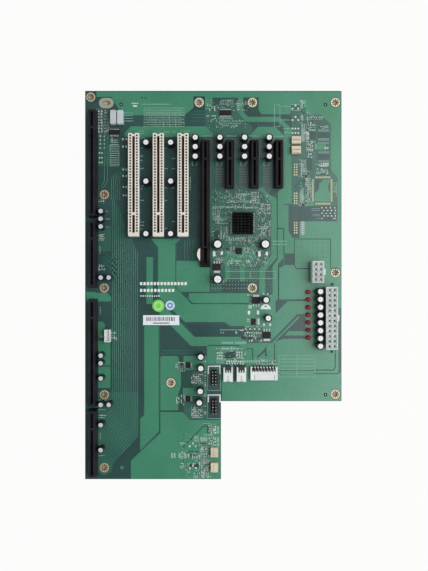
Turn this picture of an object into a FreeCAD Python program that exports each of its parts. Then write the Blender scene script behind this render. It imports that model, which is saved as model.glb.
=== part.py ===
import FreeCAD, Part
import math
import os

# Passive backplane lying face up. X runs to the right, Y runs up the board and Z towards
# the cards. Sizes are in millimetres. Places on the board are measured from its left and
# top edges, and the pin tails under the board stand on Z = 0.

# Circuit board
board_thickness = 1.6
tail_drop = 1.4            # pin tails below the board
leg_width = 113.7          # lower leg, from the left edge
leg_length = 65.3          # lower leg, up from the bottom edge
hole_diameter = 3.9        # screw holes
hole_row = 9.7             # top row of screw holes, from the top edge
hole_edge = 5.1            # right column of screw holes, from the right edge
hole_column = 8.9          # left column of screw holes, from the host slots
corner_hole = (4.7, 5.2)
oblong_length = 6.8
oblong_width = 4.2
oblong_hole = (10.5, 10.2)         # from the host slots and the top edge
first_slot_hole = -5.1             # top row hole beside the long black slot
third_slot_hole = -1.2             # top and middle row holes beside the second short slot
middle_row_offset = 0.2            # middle row of holes, below the end of the upper host slots
upper_host_hole = -19.5            # from the end of host slot a
lower_host_hole = -8.8             # from the end of host slot c
last_host_hole = -6.2              # from the end of host slot d
power_hole = -37.6                 # right column hole, from the middle of the main power socket
notch_hole = -5.8                  # right column hole, from the notch
inner_hole = (9.8, -15.3)          # from the middle ivory slot and the notch

# Places of the card slots and the power socket
host_inset = 7.2           # host slots from the left edge
host_top_margin = 17.3
host_pair_gap = 2.5
host_bank_gap = 9.3
host_bottom_margin = 3.4
host_to_ivory = 34.5
slot_pitch = 20.32
ivory_to_black = 18.26
black_to_power = 43.1
power_inset = 9.95         # main power socket from the right edge
ivory_row = 37.6           # upper ends of the ivory slots, from the top edge
black_row = 43.1           # upper ends of the black slots, from the top edge
power_row = 189.8          # middle of the main power socket, from the top edge

# Black card slots
long_slot_length = 89.0
medium_slot_length = 56.0
short_slot_length = 39.0
black_slot_width = 7.5
black_slot_height = 11.2
black_top_width = 5.4
black_shoulder = 5.6       # height where the sides start to lean in
black_end_wall = 1.6
black_key_offset = 14.5
black_key_width = 1.9
host_end_slope = 0.95      # lean of the host slots' ends
card_gap = 1.75            # opening for the card's edge
card_gap_depth = 8.4
lead_in = 0.35             # flare at the mouth of an opening

# Ivory card slots
ivory_slot_length = 84.84
ivory_slot_width = 9.1
ivory_slot_height = 11.1
ivory_base_width = 8.0     # body under the wider top
ivory_flange = 3.0         # height of the wider top
ivory_top_wall = 2.3
ivory_bottom_wall = 2.6
ivory_key_offset = 65.2
ivory_key_width = 2.0
cavity_pitch = 3.81
cavity_length = 2.4
cavity_width = 1.2
cavity_offset = 2.74       # cavity row from the middle of the opening
cavity_depth = 4.0

# Card retainer behind the long black slot
retainer_width = 8.4
retainer_length = 15.5
retainer_height = 8.0
retainer_floor = 2.0
retainer_wall = 2.9
retainer_nose = 6.2        # length of the sloping end
clip_height = 12.5
clip_length = 10.4
clip_bow = 2.5             # how far the clip's finger tab bows out

# Power sockets
way_pitch = 4.2
way_opening = 3.5
socket_end_wall = 0.6      # plastic outside the last pitch cell
socket_width = 9.6
socket_height = 12.8
power_pin = 1.07
power_pin_height = 8.0
socket_latch_width = 5.0
socket_latch_depth = 1.3
socket_latch_height = 4.0
socket_latch_lip = 1.0     # slope above the latch's edge
socket_latch_edge = 0.6
main_rows = 12
aux_rows = 4
aux_socket_place = (-11.25, -38.0)     # from the main power socket

# Capacitors and lamps
can_facets = 12            # flats round a can
capacitor_diameter = 6.3
capacitor_height = 11.0
host_capacitor_diameter = 5.0
bulk_capacitor_diameter = 8.0
bulk_capacitor_height = 11.5
filter_gap = 0.12          # between the cans beside the main power socket
filter_count = 8
filter_offset = (-9.15, 0.6)           # from the main power socket
ivory_can_rows = (7.5, 39.5, 82.7)     # below the upper ends of the ivory slots
black_can_rows = (-2.1, 5.6, 13.5)     # below the upper ends of the black slots
black_can_offset = -8.2                # left of each black slot
near_host_can = 7.5                    # right of the host slots
far_host_can = 14.1
host_a_can_rows = (-4.6, 1.7, 8.1)     # from the end of host slot a
host_b_can_row = -8.4                  # from the end of host slot b
host_c_can_rows = (-42.5, -36.2, -23.7, -2.0)      # from the end of host slot c
host_d_can_rows = (12.1, 32.7)         # from the start of host slot d
regulator_cans = ((9.6, 9.8), (11.4, 24.9))        # from the second short slot and the middle row
leg_cans = ((-16.7, -37.9), (-16.7, -28.5), (-17.1, -9.6), (-17.9, -0.2))     # from the notch corner
bulk_can_offset = 10.3                 # right of the long black slot
bulk_can_far_offset = 8.9              # right of the second short slot
bulk_can_row = -3.2                    # from the end of the long black slot
bulk_can_middle_row = -7.2             # from the middle row
lamp_facets = 10
lamp_diameter = 4.0
lamp_height = 4.6
lamp_crown = 1.2
lamp_tip_diameter = 2.0
lamp_pitch = 6.35
lamp_count = 7
lamp_offset = (-18.15, -2.4)           # from the main power socket

# Bridge chip and its heat sink
chip_size = 15.0
chip_height = 1.3
pad_thickness = 0.3
sink_width = 17.2
sink_length = 17.9
sink_base = 2.0
sink_height = 7.6
sink_columns = 6
sink_rows = 8
fin_gap = 1.1
bridge_place = (11.1, -20.9)           # from the first short slot and the end of the long slot

# Side entry connectors
wafer_wall = 0.8
wafer_pin = 0.6
wafer_pin_reach = 1.4      # how far a pin leaves the back of a wafer
header_height = 5.8
header_wall = 0.9
header_rear = 3.4          # comb behind the header's body
header_pin_reach = 2.4
comb_gap = 1.3             # between the comb's teeth
small_header_places = ((5.9, -22.75), (16.95, -22.75))     # from the notch corner
wide_header_place = (35.75, -23.65)
white_wafer_places = ((16.95, 23.05), (22.75, 23.05))      # from the host slots and the top edge
cream_wafer_places = ((14.7, -1.2), (14.7, 7.0))           # from the last black slot's upper end
leg_cream_places = ((-5.5, -23.2), (-5.5, -10.7))          # from the leg's lower right corner
small_header_width = 7.9
small_header_depth = 11.9
small_header_pitch = 2.0
small_header_count = 3
wide_header_width = 22.5
wide_header_depth = 11.1
wide_header_pitch = 2.5
wide_header_count = 8
white_wafer_count = 2
white_wafer_pitch = 2.0
white_wafer_width = 4.95
white_wafer_depth = 11.2
white_wafer_height = 5.6
cream_wafer_count = 3
cream_wafer_pitch = 2.0
cream_wafer_width = 7.6
cream_wafer_depth = 6.2
cream_wafer_height = 5.0

# Upright connectors
upright_wafer_width = 4.97
upright_wafer_length = 10.3
upright_wafer_height = 6.0
upright_wafer_pitch = 2.0
upright_wafer_count = 4
upright_wafer_place = (12.05, -58.3)   # from the host slots and the end of host slot c
pin_pitch = 2.54
pin_rows = 5
pin_size = 0.64
pin_height = 8.5
pin_body_height = 2.5
pin_body_bevel = 0.7
pin_header_places = ((-5.6, -20.0), (-5.6, 4.0))   # from the notch corner

# Chips and regulators
chip_body_height = 1.5
regulator_width = 6.4
regulator_length = 5.7
regulator_height = 1.8
tab_width = 5.3
tab_reach = 1.9
tab_thickness = 0.5
tab_gap = 0.8              # between the tab and the leads, under the body
lead_width = 0.8
lead_root = 0.6            # length of a lead under the body
lead_reach = 2.4
lead_pitch = 2.2
choke_size = 4.8
choke_height = 2.6
logic_chip_size = (8.6, 3.9)
clock_chip_size = (9.7, 4.4)
switch_chip_size = (4.0, 5.0)
driver_chip_size = (4.0, 4.8)
logic_chip_place = (17.4, 34.95)       # from the host slots and the top edge
clock_chip_place = (-3.4, 18.6)        # from the first short slot and the top edge
switch_chip_place = (-0.4, 28.3)       # from the second short slot and the middle row
driver_chip_places = ((-27.5, -30.2), (-27.5, -2.0))       # from the notch corner
upper_regulator = (1.9, 10.3)          # from the second short slot and the middle row
lower_regulator = (10.8, 39.5)
slot_regulator = (9.65, -17.4)         # from the long slot and the middle row
choke_place = (7.95, 2.0)              # from the first short slot and the end of the long slot

# Stickers
label_width = 30.3
label_height = 8.3
disc_facets = 24
green_disc = 10.3
blue_disc = 7.9
sticker_thickness = 0.12
label_place = (1.6, 26.95)             # from the middle ivory slot and the middle row
green_place = (-0.6, 14.9)
blue_place = (9.1, 14.6)

# Worked out places
board_top = tail_drop + board_thickness
host_a_top = host_top_margin
host_a_end = host_a_top + long_slot_length
host_b_top = host_a_end + host_pair_gap
host_b_end = host_b_top + medium_slot_length
host_c_top = host_b_end + host_bank_gap
host_c_end = host_c_top + long_slot_length
host_d_top = host_c_end + host_pair_gap
host_d_end = host_d_top + medium_slot_length
board_height = host_d_end + host_bottom_margin
ivory_x = [host_inset + host_to_ivory + i * slot_pitch for i in range(3)]
black_x = [ivory_x[2] + ivory_to_black + i * slot_pitch for i in range(4)]
power_x = black_x[3] + black_to_power
board_width = power_x + power_inset
notch_row = board_height - leg_length
middle_row = host_b_end + middle_row_offset
retainer_row = black_row + long_slot_length


def vec(x, y, z):
    return FreeCAD.Vector(x, y, z)


def block(x0, x1, y0, y1, z0, z1):
    return Part.makeBox(x1 - x0, y1 - y0, z1 - z0, vec(x0, y0, z0))


def slab(width, length, z0, z1):
    return block(-width / 2, width / 2, -length / 2, length / 2, z0, z1)


def prism(points, along):
    outline = Part.makePolygon(points + points[:1])
    return Part.Face(outline).extrude(along)


def frustum(low, high):
    faces = [Part.Face(Part.makePolygon(ring + ring[:1])) for ring in (low, high)]
    for i in range(len(low)):
        side = [low[i - 1], low[i], high[i], high[i - 1], low[i - 1]]
        faces.append(Part.Face(Part.makePolygon(side)))
    return Part.Solid(Part.Shell(faces))


def drum(radius, z0, z1):
    return Part.makeCylinder(radius, z1 - z0, vec(0, 0, z0))


def ring_points(radius, z, facets):
    turns = [2 * math.pi * i / facets for i in range(facets)]
    return [vec(radius * math.cos(a), radius * math.sin(a), z) for a in turns]


def shift(x, y, offset):
    return (x + offset[0], y + offset[1])


def seat(shape, x, y, turn=0):
    placed = shape.copy()
    placed.rotate(vec(0, 0, 0), vec(0, 0, 1), turn)
    placed.translate(vec(x - board_width / 2, board_height / 2 - y, board_top))
    return placed


def save(name, *shapes):
    shape = shapes[0] if len(shapes) == 1 else Part.makeCompound(list(shapes))
    shape.exportStep("parts/" + name + ".step")


# Circuit board: an L with screw holes, an oblong hole and square holes for through pins
def hole_places():
    left = host_inset + hole_column
    right = board_width - hole_edge
    return [
        corner_hole,
        (black_x[0] + first_slot_hole, hole_row),
        (black_x[2] + third_slot_hole, hole_row),
        (right, hole_row),
        (left, host_a_end + upper_host_hole),
        (left, middle_row),
        (left, host_c_end + lower_host_hole),
        (left, host_d_end + last_host_hole),
        (black_x[2] + third_slot_hole, middle_row),
        (right, power_row + power_hole),
        (right, notch_row + notch_hole),
        shift(ivory_x[1], notch_row, inner_hole),
    ]


def circuit_board(through_pins):
    corners = [(0, 0), (board_width, 0), (board_width, notch_row), (leg_width, notch_row),
               (leg_width, board_height), (0, board_height)]
    points = [vec(x, -y, -board_thickness) for x, y in corners]
    board = prism(points, vec(0, 0, board_thickness))
    board.translate(vec(-board_width / 2, board_height / 2, board_top))
    cutters = [seat(drum(hole_diameter / 2, -board_thickness, 0), x, y) for x, y in hole_places()]
    reach = (oblong_length - oblong_width) / 2
    oblong = block(-reach, reach, -oblong_width / 2, oblong_width / 2, -board_thickness, 0)
    for side in (-reach, reach):
        end = drum(oblong_width / 2, -board_thickness, 0)
        end.translate(vec(side, 0, 0))
        oblong = oblong.fuse(end)
    cutters.append(seat(oblong.removeSplitter(), *shift(host_inset, 0, oblong_hole)))
    return board.cut(cutters).cut(through_pins)


# Black card slot: leaning sides, an opening for the card and a key bar across it
def card_opening(y0, y1, height):
    half = card_gap / 2
    floor = height - card_gap_depth
    points = [(-half, floor), (half, floor), (half, height - lead_in), (half + lead_in, height),
              (-half - lead_in, height), (-half, height - lead_in)]
    return prism([vec(x, y0, z) for x, z in points], vec(0, y1 - y0, 0))


def black_slot(length, end_slope):
    half = black_slot_width / 2
    top = black_top_width / 2
    section = [(-half, 0), (half, 0), (half, black_shoulder), (top, black_slot_height),
               (-top, black_slot_height), (-half, black_shoulder)]
    housing = prism([vec(x, 0, z) for x, z in section], vec(0, -length, 0))
    side = [(0, 0), (-end_slope, black_slot_height), (end_slope - length, black_slot_height), (-length, 0)]
    housing = housing.common(prism([vec(-half, y, z) for y, z in side], vec(black_slot_width, 0, 0)))
    start = -black_end_wall - end_slope
    stop = black_end_wall + end_slope - length
    upper = card_opening(-black_key_offset, start, black_slot_height)
    lower = card_opening(stop, -black_key_offset - black_key_width, black_slot_height)
    return housing.cut([upper, lower])


# Ivory card slot: a keyed opening between two rows of contact cavities, in a top wider than its base
def cavities(y0, y1):
    count = int((y0 - y1) / cavity_pitch)
    first = (y0 + y1 + (count - 1) * cavity_pitch) / 2
    top = ivory_slot_height
    cutters = []
    for row in (-cavity_offset, cavity_offset):
        x0 = row - cavity_width / 2
        for i in range(count):
            y = first - i * cavity_pitch - cavity_length / 2
            cutters.append(block(x0, x0 + cavity_width, y, y + cavity_length, top - cavity_depth, top))
    return cutters


def ivory_slot():
    half = ivory_slot_width / 2
    base = ivory_base_width / 2
    ledge = ivory_slot_height - ivory_flange
    section = [(-base, 0), (base, 0), (base, ledge), (half, ledge), (half, ivory_slot_height),
               (-half, ivory_slot_height), (-half, ledge), (-base, ledge)]
    housing = prism([vec(x, 0, z) for x, z in section], vec(0, -ivory_slot_length, 0))
    key_top = -ivory_key_offset
    key_bottom = key_top - ivory_key_width
    stop = ivory_bottom_wall - ivory_slot_length
    cutters = [card_opening(key_top, -ivory_top_wall, ivory_slot_height)]
    cutters.append(card_opening(stop, key_bottom, ivory_slot_height))
    cutters += cavities(-ivory_top_wall, key_top)
    cutters += cavities(key_bottom, stop)
    return housing.cut(cutters)


# Card retainer: a black trough behind the long slot, with an ivory clip standing at its left
def retainer():
    half = retainer_width / 2
    body = block(-half, half, -retainer_length, 0, 0, retainer_height)
    inner = half - retainer_wall
    trough = block(-inner, inner, retainer_wall - retainer_length, 0, retainer_floor, retainer_height)
    ramp = [(-retainer_length, retainer_floor), (-retainer_length, retainer_height),
            (retainer_nose - retainer_length, retainer_height)]
    nose = prism([vec(-half, y, z) for y, z in ramp], vec(retainer_width, 0, 0))
    return body.cut([trough, nose])


def retainer_clip():
    face = -retainer_width / 2
    mid = -clip_length / 2
    inner = Part.LineSegment(vec(face, 0, 0), vec(face, -clip_length, 0)).toShape()
    outer = Part.Arc(vec(face, -clip_length, 0), vec(face - clip_bow, mid, 0), vec(face, 0, 0)).toShape()
    return Part.Face(Part.Wire([inner, outer])).extrude(vec(0, 0, clip_height))


# Power socket: two rows of wells open to the board, with a latch ramp at its right
def well_places(rows):
    places = []
    for column in (-way_pitch / 2, way_pitch / 2):
        for i in range(rows):
            places.append((column, (i - (rows - 1) / 2) * way_pitch))
    return places


def power_socket(rows):
    half = rows * way_pitch / 2 + socket_end_wall
    right = socket_width / 2
    housing = block(-right, right, -half, half, 0, socket_height)
    top = socket_height
    tip = right + socket_latch_depth
    lip = top - socket_latch_lip
    ramp = [(right, top), (tip, lip), (tip, lip - socket_latch_edge), (right, top - socket_latch_height)]
    latch = prism([vec(x, -socket_latch_width / 2, z) for x, z in ramp], vec(0, socket_latch_width, 0))
    reach = way_opening / 2
    wells = [block(x - reach, x + reach, y - reach, y + reach, 0, top) for x, y in well_places(rows)]
    return housing.fuse(latch).cut(wells)


def power_pins(rows):
    half = power_pin / 2
    return [block(x - half, x + half, y - half, y + half, -board_top, power_pin_height)
            for x, y in well_places(rows)]


# Round parts
def capacitor(diameter, height):
    return prism(ring_points(diameter / 2, 0, can_facets), vec(0, 0, height))


def lamp():
    shoulder = lamp_height - lamp_crown
    body = prism(ring_points(lamp_diameter / 2, 0, lamp_facets), vec(0, 0, shoulder))
    rim = ring_points(lamp_diameter / 2, shoulder, lamp_facets)
    tip = ring_points(lamp_tip_diameter / 2, lamp_height, lamp_facets)
    return body.fuse(frustum(rim, tip))


# Heat sink: a base plate with cross cut fins
def heat_sink():
    x0 = -sink_width / 2
    y0 = -sink_length / 2
    base = chip_height + pad_thickness
    top = base + sink_height
    floor = base + sink_base
    sink = block(x0, -x0, y0, -y0, base, top)
    column_pitch = (sink_width + fin_gap) / sink_columns
    row_pitch = (sink_length + fin_gap) / sink_rows
    cuts = []
    for i in range(1, sink_columns):
        x = x0 + i * column_pitch - fin_gap
        cuts.append(block(x, x + fin_gap, y0, -y0, floor, top))
    for i in range(1, sink_rows):
        y = y0 + i * row_pitch - fin_gap
        cuts.append(block(x0, -x0, y, y + fin_gap, floor, top))
    return sink.cut(cuts)


# Side entry connectors: the mouth faces -Y and the pins leave the back and turn down
def bent_pin(x, y, height, reach, depth):
    half = wafer_pin / 2
    end = y + reach
    inner = end - wafer_pin
    points = [(y, height + half), (end, height + half), (end, -depth), (inner, -depth),
              (inner, height - half), (y, height - half)]
    return prism([vec(x - half, b, z) for b, z in points], vec(wafer_pin, 0, 0))


def mouth(width, depth, height, wall, back):
    half = width / 2 - wall
    return block(-half, half, -depth / 2, depth / 2 - back, wall, height - wall)


def side_wafer(width, depth, height):
    half = width / 2
    body = block(-half, half, -depth / 2, depth / 2, 0, height)
    return body.cut(mouth(width, depth, height, wafer_wall, 2 * wafer_wall))


def side_wafer_pins():
    first = -(white_wafer_count - 1) / 2 * white_wafer_pitch
    back = white_wafer_depth / 2
    middle = white_wafer_height / 2
    return [bent_pin(first + i * white_wafer_pitch, back, middle, wafer_pin_reach, board_top)
            for i in range(white_wafer_count)]


def side_wafer_feet():
    half = wafer_pin / 2
    back = cream_wafer_depth / 2
    first = -(cream_wafer_count - 1) / 2 * cream_wafer_pitch
    places = [first + i * cream_wafer_pitch for i in range(cream_wafer_count)]
    return [block(x - half, x + half, back, back + wafer_pin_reach, 0, half) for x in places]


def comb_header(width, depth, ways, pitch):
    half = width / 2
    back = depth / 2
    body = block(-half, half, -back, back, 0, header_height)
    cuts = [mouth(width, depth, header_height, header_wall, header_rear + 2 * header_wall)]
    for i in range(ways):
        x = (i - (ways - 1) / 2) * pitch - comb_gap / 2
        cuts.append(block(x, x + comb_gap, back - header_rear, back, 0, header_height))
    return body.cut(cuts)


def comb_header_pins(depth, ways, pitch):
    wall = depth / 2 - header_rear
    first = -(ways - 1) / 2 * pitch
    return [bent_pin(first + i * pitch, wall, header_height / 2, header_pin_reach, 0) for i in range(ways)]


# Upright connectors
def upright_wafer():
    half = upright_wafer_width / 2
    end = upright_wafer_length / 2
    body = block(-half, half, -end, end, 0, upright_wafer_height)
    inside = block(wafer_wall - half, half - wafer_wall, wafer_wall - end, end - wafer_wall,
                   0, upright_wafer_height)
    return body.cut(inside)


def upright_wafer_pins():
    half = wafer_pin / 2
    first = -(upright_wafer_count - 1) / 2 * upright_wafer_pitch
    top = upright_wafer_height - wafer_wall
    places = [first + i * upright_wafer_pitch for i in range(upright_wafer_count)]
    return [block(-half, half, y - half, y + half, -board_top, top) for y in places]


def pin_header_body():
    half = pin_pitch
    end = pin_rows * pin_pitch / 2
    cut = pin_body_bevel
    points = [(-half + cut, -end), (half - cut, -end), (half, cut - end), (half, end - cut),
              (half - cut, end), (cut - half, end), (-half, end - cut), (-half, cut - end)]
    return prism([vec(x, y, 0) for x, y in points], vec(0, 0, pin_body_height))


def header_pins():
    half = pin_size / 2
    pins = []
    for x in (-pin_pitch / 2, pin_pitch / 2):
        for i in range(pin_rows):
            y = (i - (pin_rows - 1) / 2) * pin_pitch
            pins.append(block(x - half, x + half, y - half, y + half, pin_body_height, pin_height))
    return pins


# Chips and regulators
def chip(size):
    return slab(size[0], size[1], 0, chip_body_height)


def regulator():
    return slab(regulator_width, regulator_length, tab_thickness, tab_thickness + regulator_height)


def regulator_metal():
    half = tab_width / 2
    end = regulator_length / 2
    pieces = [block(-half, half, lead_root - end + tab_gap, end + tab_reach, 0, tab_thickness)]
    for x in (-lead_pitch, 0, lead_pitch):
        x0 = x - lead_width / 2
        pieces.append(block(x0, x0 + lead_width, -end - lead_reach, lead_root - end, 0, tab_thickness))
    return pieces


# Stickers
def disc(diameter):
    return prism(ring_points(diameter / 2, 0, disc_facets), vec(0, 0, sticker_thickness))


# Places of the repeated parts
def slot_capacitor_places():
    places = []
    for i in (0, 1):
        x = (ivory_x[i] + ivory_x[i + 1]) / 2
        places += [(x, ivory_row + y) for y in ivory_can_rows]
    for x in black_x:
        places += [(x + black_can_offset, black_row + y) for y in black_can_rows]
    return places


def host_capacitor_places():
    near = host_inset + near_host_can
    far = host_inset + far_host_can
    rows = [host_a_end + y for y in host_a_can_rows]
    rows.append(host_b_end + host_b_can_row)
    rows += [host_c_end + y for y in host_c_can_rows]
    rows += [host_d_top + y for y in host_d_can_rows]
    doubled = (host_b_end + host_b_can_row, host_c_end + host_c_can_rows[-1])
    return [(near, y) for y in rows] + [(far, y) for y in doubled]


def column(x, y, offset, count, pitch):
    first = y + offset[1] - (count - 1) / 2 * pitch
    return [(x + offset[0], first + i * pitch) for i in range(count)]


def filter_capacitor_places():
    return column(power_x, power_row, filter_offset, filter_count, capacitor_diameter + filter_gap)


def regulator_capacitor_places():
    places = [shift(black_x[2], middle_row, offset) for offset in regulator_cans]
    return places + [shift(leg_width, notch_row, offset) for offset in leg_cans]


def bulk_capacitor_places():
    left = black_x[0] + bulk_can_offset
    row = retainer_row + bulk_can_row
    return [(left, row), (black_x[2] + bulk_can_far_offset, row), (left, middle_row + bulk_can_middle_row)]


def lamp_places():
    return column(power_x, power_row, lamp_offset, lamp_count, lamp_pitch)


def group(shape, places):
    return [seat(shape, x, y) for x, y in places]


def seat_all(shapes, x, y, turn=0):
    return [seat(shape, x, y, turn) for shape in shapes]


os.makedirs("parts", exist_ok=True)

# Card slots
long_host = black_slot(long_slot_length, host_end_slope)
medium_host = black_slot(medium_slot_length, host_end_slope)
save("host_slot_a", seat(long_host, host_inset, host_a_top))
save("host_slot_b", seat(medium_host, host_inset, host_b_top))
save("host_slot_c", seat(long_host, host_inset, host_c_top))
save("host_slot_d", seat(medium_host, host_inset, host_d_top))
ivory = ivory_slot()
for number, x in enumerate(ivory_x, 1):
    save("ivory_slot_" + str(number), seat(ivory, x, ivory_row))
save("long_black_slot", seat(black_slot(long_slot_length, 0), black_x[0], black_row))
short_black = black_slot(short_slot_length, 0)
for number, x in enumerate(black_x[1:], 1):
    save("short_black_slot_" + str(number), seat(short_black, x, black_row))
save("card_retainer", seat(retainer(), black_x[0], retainer_row))
save("retainer_clip", seat(retainer_clip(), black_x[0], retainer_row))

# Power sockets
aux_x, aux_y = shift(power_x, power_row, aux_socket_place)
main_pins = seat_all(power_pins(main_rows), power_x, power_row)
aux_pins = seat_all(power_pins(aux_rows), aux_x, aux_y)
save("main_power_socket", seat(power_socket(main_rows), power_x, power_row))
save("main_power_pins", *main_pins)
save("aux_power_socket", seat(power_socket(aux_rows), aux_x, aux_y))
save("aux_power_pins", *aux_pins)

# Side entry connectors
small_header = comb_header(small_header_width, small_header_depth, small_header_count, small_header_pitch)
small_pins = comb_header_pins(small_header_depth, small_header_count, small_header_pitch)
wide_header = comb_header(wide_header_width, wide_header_depth, wide_header_count, wide_header_pitch)
wide_pins = comb_header_pins(wide_header_depth, wide_header_count, wide_header_pitch)
wide_place = shift(leg_width, notch_row, wide_header_place)
bent_pins = seat_all(wide_pins, *wide_place)
save("wide_header", seat(wide_header, *wide_place))
for number, offset in enumerate(small_header_places, 1):
    place = shift(leg_width, notch_row, offset)
    save("small_header_" + str(number), seat(small_header, *place))
    bent_pins += seat_all(small_pins, *place)
save("side_header_pins", *bent_pins)
white_wafer = side_wafer(white_wafer_width, white_wafer_depth, white_wafer_height)
wafer_pins = []
for number, offset in enumerate(white_wafer_places, 1):
    place = shift(host_inset, 0, offset)
    save("white_wafer_" + str(number), seat(white_wafer, *place))
    wafer_pins += seat_all(side_wafer_pins(), *place)
cream_wafer = side_wafer(cream_wafer_width, cream_wafer_depth, cream_wafer_height)
cream_places = [shift(black_x[3], black_row, offset) + (0,) for offset in cream_wafer_places]
cream_places += [shift(leg_width, board_height, offset) + (90,) for offset in leg_cream_places]
cream_feet = []
for number, place in enumerate(cream_places, 1):
    save("cream_wafer_" + str(number), seat(cream_wafer, *place))
    cream_feet += seat_all(side_wafer_feet(), *place)
save("cream_wafer_feet", *cream_feet)

# Upright connectors
upright_place = shift(host_inset, host_c_end, upright_wafer_place)
save("upright_wafer", seat(upright_wafer(), *upright_place))
wafer_pins += seat_all(upright_wafer_pins(), *upright_place)
save("white_wafer_pins", *wafer_pins)
pin_group = []
for number, offset in enumerate(pin_header_places, 1):
    place = shift(leg_width, notch_row, offset)
    save("pin_header_" + str(number), seat(pin_header_body(), *place))
    pin_group += seat_all(header_pins(), *place)
save("pin_header_pins", *pin_group)

# Round parts
host_can = capacitor(host_capacitor_diameter, capacitor_height)
small_can = capacitor(capacitor_diameter, capacitor_height)
bulk_can = capacitor(bulk_capacitor_diameter, bulk_capacitor_height)
save("slot_capacitors", *group(small_can, slot_capacitor_places()))
save("host_capacitors", *group(host_can, host_capacitor_places()))
save("filter_capacitors", *group(small_can, filter_capacitor_places()))
save("regulator_capacitors", *group(small_can, regulator_capacitor_places()))
save("bulk_capacitors", *group(bulk_can, bulk_capacitor_places()))
save("indicator_lamps", *group(lamp(), lamp_places()))

# Bridge chip under its heat sink
bridge_spot = shift(black_x[1], retainer_row, bridge_place)
chip_top = chip_height + pad_thickness
save("bridge_chip", seat(slab(chip_size, chip_size, 0, chip_height), *bridge_spot))
save("thermal_pad", seat(slab(chip_size, chip_size, chip_height, chip_top), *bridge_spot))
save("heat_sink", seat(heat_sink(), *bridge_spot))

# Chips, regulators and the choke
save("logic_chip", seat(chip(logic_chip_size), *shift(host_inset, 0, logic_chip_place)))
save("clock_chip", seat(chip(clock_chip_size), *shift(black_x[1], 0, clock_chip_place)))
save("switch_chip", seat(chip(switch_chip_size), *shift(black_x[2], middle_row, switch_chip_place)))
for number, offset in enumerate(driver_chip_places, 1):
    save("driver_chip_" + str(number), seat(chip(driver_chip_size), *shift(leg_width, notch_row, offset)))
regulator_spots = [
    shift(black_x[2], middle_row, upper_regulator) + (0,),
    shift(black_x[2], middle_row, lower_regulator) + (180,),
    shift(black_x[0], middle_row, slot_regulator) + (180,),
]
regulator_metal_group = []
for number, spot in enumerate(regulator_spots, 1):
    save("regulator_" + str(number), seat(regulator(), *spot))
    regulator_metal_group += seat_all(regulator_metal(), *spot)
save("regulator_tabs", *regulator_metal_group)
choke = slab(choke_size, choke_size, 0, choke_height)
save("choke", seat(choke, *shift(black_x[1], retainer_row, choke_place)))

# Stickers
label = slab(label_width, label_height, 0, sticker_thickness)
save("label_sticker", seat(label, *shift(ivory_x[1], middle_row, label_place)))
save("green_sticker", seat(disc(green_disc), *shift(ivory_x[1], middle_row, green_place)))
save("blue_sticker", seat(disc(blue_disc), *shift(ivory_x[1], middle_row, blue_place)))

save("circuit_board", circuit_board(main_pins + aux_pins + wafer_pins))
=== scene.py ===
import math
import random

import bmesh
import bpy
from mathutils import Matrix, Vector
from mathutils.geometry import tessellate_polygon


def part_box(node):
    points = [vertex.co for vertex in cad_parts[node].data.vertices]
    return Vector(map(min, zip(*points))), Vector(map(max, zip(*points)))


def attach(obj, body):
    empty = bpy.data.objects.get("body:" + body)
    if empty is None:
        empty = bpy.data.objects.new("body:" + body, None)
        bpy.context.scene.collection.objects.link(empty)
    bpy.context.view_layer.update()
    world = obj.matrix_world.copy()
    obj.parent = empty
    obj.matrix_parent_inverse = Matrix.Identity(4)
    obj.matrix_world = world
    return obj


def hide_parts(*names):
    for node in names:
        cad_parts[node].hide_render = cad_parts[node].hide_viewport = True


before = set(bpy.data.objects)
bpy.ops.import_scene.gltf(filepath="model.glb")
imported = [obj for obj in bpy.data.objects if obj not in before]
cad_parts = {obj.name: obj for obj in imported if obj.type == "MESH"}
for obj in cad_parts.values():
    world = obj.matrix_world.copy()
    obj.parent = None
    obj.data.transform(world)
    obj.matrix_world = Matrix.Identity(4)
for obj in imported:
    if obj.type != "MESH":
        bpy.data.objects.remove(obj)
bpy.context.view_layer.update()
mm = 0.001
boardLow, boardHigh = (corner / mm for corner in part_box("circuit_board"))
boardTop = boardHigh.z
boardUnder = boardLow.z

# how the photo's pixels lie on the board's face
photo = dict(width=428, height=571, mmPerPixel=0.8371, middle=(0.56, -0.43), cameraRise=600.0)


def spot(px, py, rise=0.0):
    step = photo["mmPerPixel"] * (photo["cameraRise"] - rise) / photo["cameraRise"]
    x = (px - photo["width"] / 2) * step + photo["middle"][0]
    y = (photo["height"] / 2 - py) * step + photo["middle"][1]
    return x, y


def onBoard(points):
    return [spot(*p) for p in points]


# places measured from the board's left and top edges
def at(x, y):
    return boardLow.x + x, boardHigh.y - y


# corners of a plain rectangle, and any outline led back to its start
def patch(x0, y0, x1, y1):
    return [(x0, y0), (x1, y0), (x1, y1), (x0, y1)]


def closed(points):
    return points + points[:1]


def colour(code):
    parts = [int(code[i:i + 2], 16) / 255 for i in (1, 3, 5)]
    linear = [c / 12.92 if c <= 0.04045 else ((c + 0.055) / 1.055) ** 2.4 for c in parts]
    return (*linear, 1.0)


# any node of any tree: settings first, then the values or links of its sockets
def addNode(tree, kind, settings=None, sockets=None):
    made = tree.nodes.new(kind)
    for key, value in (settings or {}).items():
        setattr(made, key, value)
    for key, value in (sockets or {}).items():
        feed(tree, made.inputs[key], value)
    return made


def feed(tree, socket, value):
    if isinstance(value, Wire):
        value = value.socket
    if isinstance(value, bpy.types.NodeSocket):
        tree.links.new(value, socket)
    else:
        socket.default_value = value


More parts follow.
